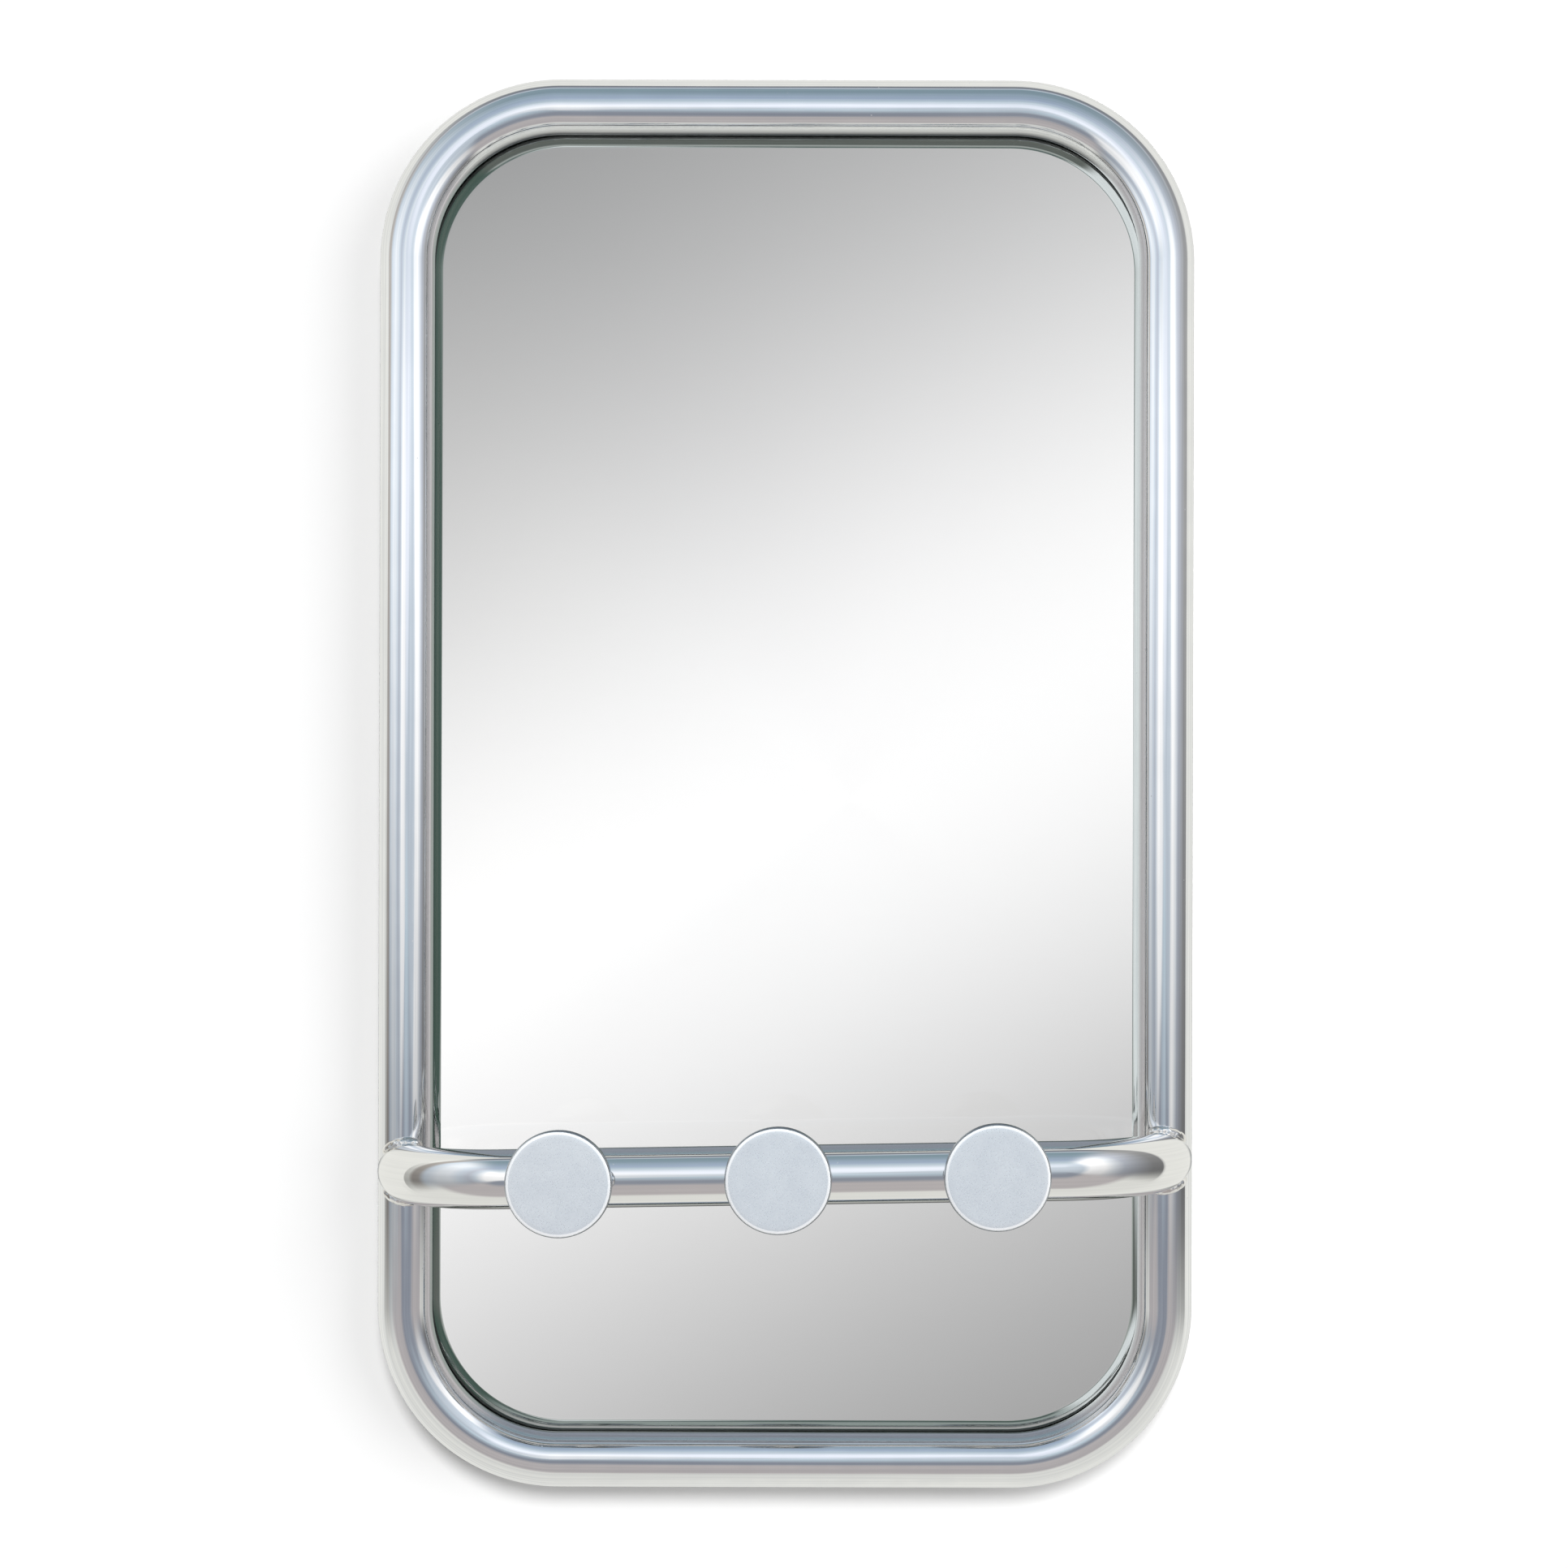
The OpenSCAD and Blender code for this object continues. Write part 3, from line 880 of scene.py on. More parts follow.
def turned(profile: Sequence[Vector], place: Matrix, sides: int = 96) -> bmesh.types.BMesh:
    """Turns a profile round, as on a lathe.

    Args:
        profile: Points from the axis out and back to the axis, with x outward and z along the axis.
        place: Where the lathe's Z axis lies.
        sides: Steps of the full turn.

    Returns:
        The closed mesh.
    """
    bm = bmesh.new()
    verts = [bmesh.ops.create_vert(bm, co=point)["vert"][0] for point in profile]
    edges = [bm.edges.new(pair) for pair in zip(verts, verts[1:])]
    bmesh.ops.spin(bm, geom=verts + edges, cent=(0, 0, 0), axis=AXIS_Z, dvec=(0, 0, 0),
                   angle=2 * math.pi, steps=sides, use_merge=True)
    bmesh.ops.remove_doubles(bm, verts=bm.verts[:], dist=1e-7)
    bmesh.ops.transform(bm, matrix=place, verts=bm.verts[:])
    bmesh.ops.recalc_face_normals(bm, faces=bm.faces[:])
    return bm


def arc(centre: tuple[float, float], reach: tuple[float, float], start: float, end: float,
        steps: int) -> list[Vector]:
    """Gives points on a quarter of an ellipse in a lathe's profile.

    Args:
        centre: The middle, outward and along the axis.
        reach: The half widths, outward and along the axis.
        start: First angle in degrees, from outward to along.
        end: Last angle in degrees.
        steps: Parts of the arc.

    Returns:
        The points, both ends included.
    """
    angles = [math.radians(start + (end - start) * step / steps) for step in range(steps + 1)]
    return [Vector((centre[0] + reach[0] * math.cos(a), 0, centre[1] + reach[1] * math.sin(a)))
            for a in angles]


def rounded_plate(half_w: float, half_h: float, corner: float, middle_z: float, front: float, back: float,
                  arris: float) -> bmesh.types.BMesh:
    """Makes a sheet with round corners and softly ground edges.

    Args:
        half_w: Half of its width.
        half_h: Half of its height.
        corner: Radius of its corners.
        middle_z: Height of its middle.
        front: Where its front lies along Y.
        back: Where its back lies along Y.
        arris: Width of the ground edges.

    Returns:
        The sheet, whose edge faces have the material number 1.
    """
    corner_steps = 28
    bm = bmesh.new()
    upright = Matrix.Rotation(QUARTER_TURN, 4, "X")
    bmesh.ops.create_grid(bm, x_segments=1, y_segments=1, size=1.0,
                          matrix=Matrix.Translation((0, back, middle_z)) @ upright)
    for vert in bm.verts:
        vert.co.x *= half_w
        vert.co.z = middle_z + (vert.co.z - middle_z) * half_h
    round_off(bm, bm.verts[:], corner, corner_steps, "VERTICES")
    grown = bmesh.ops.extrude_face_region(bm, geom=bm.faces[:])["geom"]
    bmesh.ops.translate(bm, verts=verts_of(grown), vec=AXIS_Y * (front - back))
    bmesh.ops.recalc_face_normals(bm, faces=bm.faces[:])
    for face in bm.faces:
        face.material_index = 0 if abs(face.normal.y) > 0.5 else 1
    if arris > 0:
        for face in round_off(bm, sharp_edges(bm), arris, 2)["faces"]:
            face.material_index = 1
    flats = [f for f in bm.faces if abs(f.normal.y) > 1 - 1e-6]
    for flat in flats:
        bmesh.ops.inset_region(bm, faces=[flat], thickness=FLAT_MARGIN, use_even_offset=True)
    return bm


@dataclass
class Sweep:
    """Draws a skin out of a ring and notes each point's place in the straight tube."""

    radius: float
    sides: int
    place: Matrix
    bm: bmesh.types.BMesh = field(default_factory=bmesh.new)

    def __post_init__(self) -> None:
        """Makes the first ring, square to the Z axis of its place."""
        self.grain = self.bm.verts.layers.float_vector.new(GRAIN)
        ring = bmesh.ops.create_circle(self.bm, cap_ends=False, segments=self.sides,
                                       radius=self.radius)["verts"]
        for vert in ring:
            vert[self.grain] = Vector((0, vert.co.x, vert.co.y))
        bmesh.ops.transform(self.bm, matrix=self.place, verts=ring)
        self.edges = edges_at(ring)

    def step(self, move: Matrix, advance: float) -> None:
        """Draws the skin one step on.

        Args:
            move: How the last ring moves.
            advance: Length of the step along the tube.
        """
        grown = bmesh.ops.extrude_edge_only(self.bm, edges=self.edges)["geom"]
        verts = verts_of(grown)
        bmesh.ops.transform(self.bm, matrix=move, verts=verts)
        for vert in verts:
            vert[self.grain] = vert[self.grain] + AXIS_X * advance
        self.edges = far_edges(grown)
        self.place = move @ self.place

    def pull(self, length: float, steps: int) -> None:
        """Draws a straight length.

        Args:
            length: How far the tube runs on.
            steps: Parts that it is drawn in.
        """
        for _ in range(steps):
            way = self.place.to_3x3() @ AXIS_Z
            self.step(Matrix.Translation(way.normalized() * length / steps), length / steps)

    def bend(self, centre: Vector, axis: Vector, angle: float, steps: int) -> None:
        """Draws a bend.

        Args:
            centre: The middle of the bend.
            axis: The axis that it turns about.
            angle: The turn, in radians.
            steps: Parts that it is drawn in.
        """
        reach = (self.place.to_translation() - centre).length
        about = Matrix.Translation(centre)
        turn = about @ Matrix.Rotation(angle / steps, 4, axis) @ about.inverted()
        for _ in range(steps):
            self.step(turn, abs(angle) / steps * reach)

    def give_wall(self, wall: float) -> bmesh.types.BMesh:
        """Turns the skin into a tube with a wall, inside the skin.

        Args:
            wall: Thickness of the wall.

        Returns:
            The tube.
        """
        bmesh.ops.recalc_face_normals(self.bm, faces=self.bm.faces[:])
        bmesh.ops.solidify(self.bm, geom=self.bm.faces[:], thickness=wall)
        bmesh.ops.recalc_face_normals(self.bm, faces=self.bm.faces[:])
        return self.bm


# ---- Finishes ----


def grain_place(nodes: ShaderTree, source: GrainFrom) -> bpy.types.NodeSocket:
    """Gives a place whose X runs along the grain.

    Args:
        nodes: The material's tree.
        source: Where the grain's direction comes from.

    Returns:
        The place, in metres.
    """
    if source is GrainFrom.SWEEP:
        return nodes.add("ShaderNodeAttribute", attribute_name=GRAIN).outputs["Vector"]
    place = object_place(nodes)
    if source is GrainFrom.ACROSS:
        return place
    x, y, z = nodes.add("ShaderNodeSeparateXYZ", {0: place}).outputs
    return nodes.add("ShaderNodeCombineXYZ", {0: z, 1: x, 2: y}).outputs[0]


@dataclass(frozen=True)
class Metal:
    """A bare metal with its grain, its waviness, its blotches and a few specks."""

    name: str
    colour: Rgb
    shaded: Rgb
    roughness: tuple[float, float] = (0.12, 0.18)
    grain_from: GrainFrom = GrainFrom.ACROSS
    grain_density: Rgb = (40.0, 1100.0, 1100.0)
    grain_depth: float = 0.02 * MM
    wave_density: Rgb = (9.0, 60.0, 60.0)
    wave_depth: float = 0.05 * MM
    blotch_scale: float = 55.0
    blotch_softness: float = 0.5
    least_worn: float = 0.6
    speck_scale: float = 260.0
    speck_share: float = 0.02
    speck_rough: float = 0.35

    def make(self) -> bpy.types.Material:
        """Builds the material.

        Returns:
            The material.
        """
        material, nodes, output = new_material(self.name)
        place = grain_place(nodes, self.grain_from)
        streaks = nodes.group(GROUPS.streaks(), {"Place": place, "Density": self.grain_density,
                                                 "Waves": self.wave_density}).outputs
        blotch = nodes.group(GROUPS.blotches(), {"Place": place, "Scale": self.blotch_scale,
                                                 "Softness": self.blotch_softness}).outputs["Mask"]
        speck = nodes.group(GROUPS.specks(), {"Place": place, "Scale": self.speck_scale,
                                              "Share": self.speck_share}).outputs["Mask"]
        worn = nodes.math("MULTIPLY_ADD", blotch, 1 - self.least_worn, self.least_worn)
        share = nodes.math("MULTIPLY", nodes.remap(streaks["Lines"], (0.3, 0.7), (0.0, 1.0)), worn)
        tone = nodes.mix(share, (*self.shaded, 1.0), (*self.colour, 1.0))
        patchy = nodes.math("MULTIPLY_ADD", streaks["Lines"], 0.5, nodes.math("MULTIPLY", blotch, 0.5))
        spread = nodes.remap(patchy, (0.2, 0.8), self.roughness)
        rough = nodes.math("ADD", spread, nodes.math("MULTIPLY", speck, self.speck_rough))
        wave = nodes.add("ShaderNodeBump", {"Height": streaks["Waves"], "Distance": self.wave_depth})
        fine = nodes.add("ShaderNodeBump", {"Height": streaks["Lines"], "Distance": self.grain_depth,
                                            "Normal": wave.outputs[0]})
        skin = nodes.add("ShaderNodeBsdfPrincipled", {"Base Color": tone, "Metallic": 1.0, "Roughness": rough,
                                                      "Normal": fine.outputs[0]})
        nodes.feed(output.inputs["Surface"], skin.outputs[0])
        return material


@dataclass(frozen=True)
class SatinFace:
    """The fine blasted face of a hook disc, with its soft blotches and pits."""

    name: str
    colour: Rgb
    shaded: Rgb
    roughness: tuple[float, float] = (0.26, 0.36)
    bare_share: float = 0.62
    fine_scale: float = 1500.0
    blotch_scale: float = 90.0
    blotch_softness: float = 0.8
    pit_scale: float = 420.0
    pit_share: float = 0.004
    pit_mark: float = 0.12
    pit_colour: Rgb = (0.55, 0.57, 0.60)
    depth: float = 0.005 * MM

    def make(self) -> bpy.types.Material:
        """Builds the material.

        Returns:
            The material.
        """
        material, nodes, output = new_material(self.name)
        place = object_place(nodes)
        blotch = nodes.group(GROUPS.blotches(), {"Place": place, "Scale": self.blotch_scale,
                                                 "Softness": self.blotch_softness}).outputs["Mask"]
        pit = nodes.group(GROUPS.specks(), {"Place": place, "Scale": self.pit_scale,
                                            "Share": self.pit_share}).outputs["Mask"]
        fine = nodes.noise(place, self.fine_scale)
        share = nodes.math("MULTIPLY_ADD", fine, 0.5, nodes.math("MULTIPLY", blotch, 0.5))
        tone = nodes.mix(share, (*self.shaded, 1.0), (*self.colour, 1.0))
        tone = nodes.mix(nodes.math("MULTIPLY", pit, self.pit_mark), tone, (*self.pit_colour, 1.0))
        rough = nodes.remap(fine, (0.2, 0.8), self.roughness)
        bump = nodes.add("ShaderNodeBump", {"Height": fine, "Distance": self.depth})
        skin = nodes.add("ShaderNodeBsdfPrincipled", {"Base Color": tone, "Metallic": self.bare_share,
                                                      "Roughness": rough, "Normal": bump.outputs[0]})
        nodes.feed(output.inputs["Surface"], skin.outputs[0])
        return material


@dataclass(frozen=True)
class Matt:
    """A matt stuff such as rubber, paint or hardboard, mottled and slightly rough."""

    name: str
    colour: Rgb
    shaded: Rgb
    roughness: tuple[float, float] = (0.6, 0.85)
    fleck_scale: float = 900.0
    fleck_part: float = 0.6
    blotch_scale: float = 30.0
    blotch_softness: float = 0.9
    depth: float = 0.05 * MM

    def make(self) -> bpy.types.Material:
        """Builds the material.

        Returns:
            The material.
        """
        material, nodes, output = new_material(self.name)
        place = object_place(nodes)
        blotch = nodes.group(GROUPS.blotches(), {"Place": place, "Scale": self.blotch_scale,
                                                 "Softness": self.blotch_softness}).outputs["Mask"]
        fleck = nodes.noise(place, self.fleck_scale, detail=4.0)
        patches = nodes.math("MULTIPLY", blotch, 1 - self.fleck_part)
        share = nodes.math("MULTIPLY_ADD", fleck, self.fleck_part, patches)
        tone = nodes.mix(share, (*self.shaded, 1.0), (*self.colour, 1.0))
        rough = nodes.remap(fleck, (0.3, 0.7), self.roughness)
        bump = nodes.add("ShaderNodeBump", {"Height": fleck, "Distance": self.depth})
        skin = nodes.add("ShaderNodeBsdfPrincipled", {"Base Color": tone, "Roughness": rough,
                                                      "Normal": bump.outputs[0]})
        nodes.feed(output.inputs["Surface"], skin.outputs[0])
        return material


@dataclass(frozen=True)
class Glass:
    """Float glass, clear on its faces and frosted where its edge is ground."""

    name: str
    colour: Rgb = (0.985, 0.995, 0.99)
    roughness: float = 0.0
    bend_of_light: float = 1.52
    film_scale: float = 18.0
    film_softness: float = 0.7
    film_share: float = 0.995

    def make(self) -> bpy.types.Material:
        """Builds the material.

        Returns:
            The material.
        """
        material, nodes, output = new_material(self.name)
        film = nodes.group(GROUPS.blotches(), {"Place": object_place(nodes), "Scale": self.film_scale,
                                               "Softness": self.film_softness}).outputs["Mask"]
        dulled = (*(share * self.film_share for share in self.colour), 1.0)
        tone = nodes.mix(film, (*self.colour, 1.0), dulled)
        skin = nodes.add("ShaderNodeBsdfPrincipled", {"Base Color": tone, "Roughness": self.roughness,
                                                      "IOR": self.bend_of_light, "Transmission Weight": 1.0})
        nodes.feed(output.inputs["Surface"], skin.outputs[0])
        return material


@dataclass(frozen=True)
class Finishes:
    """Every finish of the mirror, by the piece that wears it."""

    frame_tube: Metal = Metal("frame_tube", (0.96, 0.965, 0.97), (0.81, 0.82, 0.84), roughness=(0.04, 0.10),
                              grain_from=GrainFrom.SWEEP, grain_density=(5.0, 700.0, 700.0))
    rail_tube: Metal = Metal("rail_tube", (0.945, 0.945, 0.94), (0.885, 0.885, 0.885),
                             roughness=(0.008, 0.025), grain_from=GrainFrom.SWEEP,
                             grain_density=(6.0, 700.0, 700.0), grain_depth=0.005 * MM,
                             wave_depth=0.03 * MM)
    weld_bead: Metal = Metal("weld_bead", (0.98, 0.98, 0.98), (0.72, 0.70, 0.67), roughness=(0.02, 0.07),
                             grain_density=(150.0, 150.0, 150.0), grain_depth=0.9 * MM,
                             wave_density=(300.0, 300.0, 300.0), wave_depth=0.6 * MM)
    disc_face: SatinFace = SatinFace("disc_satin", (0.925, 0.97, 1.0), (0.765, 0.81, 0.86))
    # A paler, less metallic ring near the disc's rim: a painted highlight.
    disc_ring: SatinFace = SatinFace("disc_painted_highlight_ring", (0.97, 0.985, 1.0), (0.90, 0.93, 0.96),
                                     roughness=(0.18, 0.26), bare_share=0.35)
    # The disc's rim and side, much darker than the same metal elsewhere: painted shade for the disc's dark
    # edge.
    disc_side: Metal = Metal("disc_edge_painted_dark", (0.54, 0.57, 0.60), (0.44, 0.47, 0.50),
                             roughness=(0.10, 0.18))
    disc_rim: Metal = Metal("disc_rim", (0.95, 0.96, 0.97), (0.90, 0.92, 0.94), roughness=(0.06, 0.12))
    hook_stem: Metal = Metal("hook_stem", (0.90, 0.91, 0.92), (0.84, 0.85, 0.86), roughness=(0.08, 0.14),
                             grain_from=GrainFrom.UPRIGHT)
    joint_sleeve: Metal = Metal("joint_sleeve", (0.78, 0.79, 0.80), (0.68, 0.69, 0.70), roughness=(0.3, 0.45),
                                grain_from=GrainFrom.UPRIGHT)
    clip_boss: Metal = Metal("clip_boss", (0.80, 0.81, 0.82), (0.70, 0.71, 0.72), roughness=(0.22, 0.34),
                             grain_density=(900.0, 60.0, 900.0))
    hanger_strap: Metal = Metal("hanger_strap", (0.82, 0.83, 0.84), (0.72, 0.73, 0.74), roughness=(0.28, 0.4),
                                grain_density=(30.0, 900.0, 900.0))
    steel_strip: Metal = Metal("steel_strip", (0.74, 0.75, 0.76), (0.60, 0.61, 0.63), roughness=(0.26, 0.42),
                               blotch_scale=220.0)
    steel_fastener: Metal = Metal("steel_fastener", (0.70, 0.71, 0.72), (0.55, 0.56, 0.58),
                                  roughness=(0.24, 0.38), blotch_scale=260.0)
    glass: Glass = Glass("clear_glass")
    glass_edge: Glass = Glass("ground_edge", (0.55, 0.80, 0.70), 0.4)
    silver: Metal = Metal("silver", (0.965, 0.97, 0.965), (0.96, 0.965, 0.96), roughness=(0.0, 0.0),
                          grain_depth=0.0, wave_depth=0.0, speck_share=0.0)
    silver_paint: Matt = Matt("mirror_back_paint", (0.33, 0.34, 0.35), (0.27, 0.28, 0.29))
    gasket: Matt = Matt("gasket_rubber", (0.03, 0.036, 0.033), (0.018, 0.022, 0.02))
    board: Matt = Matt("hardboard", (0.50, 0.335, 0.205), (0.24, 0.15, 0.085), fleck_scale=260.0,
                       blotch_scale=14.0)
    bumper: Matt = Matt("bumper_rubber", (0.05, 0.05, 0.052), (0.03, 0.03, 0.032))


# ---- The mirror's parts ----


@dataclass(frozen=True)
class TubePlaces:
    """Where the frame tube runs."""

    radius: float = 15 * MM
    half_x: float = 210 * MM
    y: float = -30 * MM
    top_z: float = -6 * MM
    bottom_z: float = -754 * MM

    @property
    def middle_z(self) -> float:
        """Height of the frame's middle."""
        return (self.top_z + self.bottom_z) / 2

    @property
    def left_joint_z(self) -> float:
        """Height of the joint behind the left end of the rail."""
        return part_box("frame_upper_tube")[0].z

    @property
    def right_joint_z(self) -> float:
        """Height of the joint behind the right end of the rail."""
        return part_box("frame_lower_tube")[1].z

    def side_bar(self, side: Side, radius: float, reach: float, middle: float) -> bmesh.types.BMesh:
        """Makes a bar in the place of a side tube, to cut with.

        Args:
            side: Which side tube.
            radius: The bar's radius.
            reach: Its half length.
            middle: The height of its middle.

        Returns:
            The bar.
        """
        centre = Vector((side.value * self.half_x, self.y, middle))
        return rod(radius, centre - AXIS_Z * reach, centre + AXIS_Z * reach)


@dataclass
class TubeFrame:
    """The bent frame tube, in its two halves, with the sleeves inside their joints."""

    tube: TubePlaces
    finishes: Finishes
    corner: float = 85 * MM
    wall: float = 2 * MM
    sides: int = 96
    bend_steps: int = 36
    pull_steps: int = 6

    def build(self) -> None:
        """Makes both halves and dresses the sleeves."""
        skin = self.finishes.frame_tube.make()
        for upper in (True, False):
            name = "upper" if upper else "lower"
            finish_piece(self.half(upper), f"bent_{name}_tube", [skin], [f"frame_{name}_tube"])
        dress_nodes(self.finishes.joint_sleeve.make(), "joint_sleeve_left", "joint_sleeve_right")

    def half(self, upper: bool) -> bmesh.types.BMesh:
        """Bends one half of the frame.

        Args:
            upper: True for the half above the joints.

        Returns:
            The half, with its wall.
        """
        tube = self.tube
        away = 1 if upper else -1
        joints = (tube.right_joint_z, tube.left_joint_z) if upper else (tube.left_joint_z, tube.right_joint_z)
        start = Vector((away * tube.half_x, tube.y, joints[0]))
        facing = Matrix.Identity(4) if upper else Matrix.Rotation(2 * QUARTER_TURN, 4, "Y")
        sweep = Sweep(tube.radius, self.sides, Matrix.Translation(start) @ facing)
        end_z = tube.top_z if upper else tube.bottom_z
        centre_z = end_z - away * self.corner
        centre_x = tube.half_x - self.corner
        sweep.pull(abs(centre_z - joints[0]), self.pull_steps)
        sweep.bend(Vector((away * centre_x, tube.y, centre_z)), AXIS_Y, -QUARTER_TURN, self.bend_steps)
        sweep.pull(2 * centre_x, self.pull_steps)
        sweep.bend(Vector((-away * centre_x, tube.y, centre_z)), AXIS_Y, -QUARTER_TURN, self.bend_steps)
        sweep.pull(abs(centre_z - joints[1]), self.pull_steps)
        return sweep.give_wall(self.wall)


@dataclass
class HookRail:
    """The rail in front of the mirror, bent back at its ends and welded to the side tubes."""

    tube: TubePlaces
    finishes: Finishes
    radius: float = 16 * MM
    wall: float = 2 * MM
    leg_x: float = 208.5 * MM
    bend: float = 58 * MM
    sides: int = 96
    bend_steps: int = 48
    bead_radius: float = 3.1 * MM
    bead_half: float = 10.5 * MM
    bead_ripple: float = 0.02
    bead_pitch: float = 3.3 * MM
    bead_steps: int = 60
    bead_sides: int = 24
    bead_end: float = 0.2
    bead_fall: int = 6

    def __post_init__(self) -> None:
        """Reads the rail's place and slope from its nodes."""
        low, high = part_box("hook_rail")
        left, right = (hook_centre(side) for side in (Side.LEFT, Side.RIGHT))
        self.tilt = math.atan2(right.z - left.z, right.x - left.x)
        self.y = low.y + self.radius
        self.z = (low.z + high.z) / 2
        self.place = Matrix.Translation((0, 0, self.z)) @ Matrix.Rotation(-self.tilt, 4, "Y")

    def build(self) -> None:
        """Makes the rail and its weld beads."""
        rail = finish_piece(self.rail(), "bent_hook_rail", [self.finishes.rail_tube.make()],
                            ["hook_rail"])
        rail.visible_transmission = False
        skin = self.finishes.weld_bead.make()
        for side in (Side.LEFT, Side.RIGHT):
            finish_piece(self.beads(side), f"weld_beads_{side.word}", [skin],
                         [f"rail_weld_{side.word}"])

    def rail(self) -> bmesh.types.BMesh:
        """Bends the rail and cuts its ends to the round of the side tubes.

        Returns:
            The rail, with its wall.
        """
        start = Vector((-self.leg_x, self.tube.y, 0))
        outward = Matrix.Translation(start) @ Matrix.Rotation(QUARTER_TURN, 4, "X")
        sweep = Sweep(self.radius, self.sides, outward)
        bend_y = self.y + self.bend
        straight_x = self.leg_x - self.bend
        leg = self.tube.y - bend_y
        sweep.pull(leg, 2)
        sweep.bend(Vector((-straight_x, bend_y, 0)), AXIS_Z, QUARTER_TURN, self.bend_steps)
        sweep.pull(2 * straight_x, 8)
        sweep.bend(Vector((straight_x, bend_y, 0)), AXIS_Z, QUARTER_TURN, self.bend_steps)
        sweep.pull(leg, 2)
        bm = sweep.give_wall(self.wall)
        bmesh.ops.transform(bm, matrix=self.place, verts=bm.verts[:])
        cutters = [self.tube.side_bar(side, self.tube.radius, 2 * self.bend, self.z)
                   for side in (Side.LEFT, Side.RIGHT)]
        return subtract(bm, *cutters)

    def corner_point(self, side: Side, over: Side, across: float) -> Matrix:
        """Finds the corner between an end of the rail and its side tube.

        Args:
            side: Which end of the rail.
            over: RIGHT for the corner above the rail and LEFT for the one below it.
            across: How far it lies from the middle of the side tube.

        Returns:
            The place of the bead there, with X up along the tube and Y off its front.
        """
        x = side.value * self.tube.half_x + across
        front = math.sqrt(self.tube.radius ** 2 - across ** 2)
        past_leg = max(0.0, front - (self.tube.y - self.y - self.bend))
        bent_in = self.bend - math.sqrt(self.bend ** 2 - past_leg ** 2)
        from_leg = x - side.value * (self.leg_x - bent_in)
        up = over.value * math.sqrt(self.radius ** 2 - from_leg ** 2)
        return Matrix.Translation((x, self.tube.y - front, up))

    def beads(self, side: Side) -> bmesh.types.BMesh:
        """Lays the rippled beads above and below one end of the rail.

        Args:
            side: Which end of the rail.

        Returns:
            Both beads in one mesh.
        """
        both = gather(self.bead(side, over) for over in (Side.RIGHT, Side.LEFT))
        bmesh.ops.transform(both, matrix=self.place, verts=both.verts[:])
        bmesh.ops.recalc_face_normals(both, faces=both.faces[:])
        return both

    def bead(self, side: Side, over: Side) -> bmesh.types.BMesh:
        """Lays one bead along the corner, thinner at its ends.

        Args:
            side: Which end of the rail.
            over: RIGHT for the bead above the rail and LEFT for the one below it.

        Returns:
            The closed bead.
        """
        stations = []
        nudge = 0.01 * self.bead_half
        for step in range(self.bead_steps + 1):
            share = 2 * step / self.bead_steps - 1
            across = share * self.bead_half
            here = self.corner_point(side, over, across).to_translation()
            ahead = self.corner_point(side, over, across + nudge).to_translation()
            way = (ahead - here).normalized()
            taper = max(self.bead_end, math.sqrt(1 - share ** self.bead_fall))
            ripple = 1 + self.bead_ripple * math.sin(2 * math.pi * across / self.bead_pitch)
            size = self.bead_radius * taper * ripple
            turn = way.to_track_quat("Z", "Y").to_matrix().to_4x4()
            stations.append(Matrix.Translation(here) @ turn @ Matrix.Scale(size, 4))
        sweep = Sweep(1.0, self.bead_sides, stations[0])
        for before, after in zip(stations, stations[1:]):
            sweep.step(after @ before.inverted(), 0.0)
        bmesh.ops.holes_fill(sweep.bm, edges=sweep.bm.edges[:])
        return sweep.bm


def hook_centre(side: Side) -> Vector:
    """Gives the middle of a hook's disc, from its node."""
    low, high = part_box(f"hook_disc_{side.word}")
    return (low + high) / 2


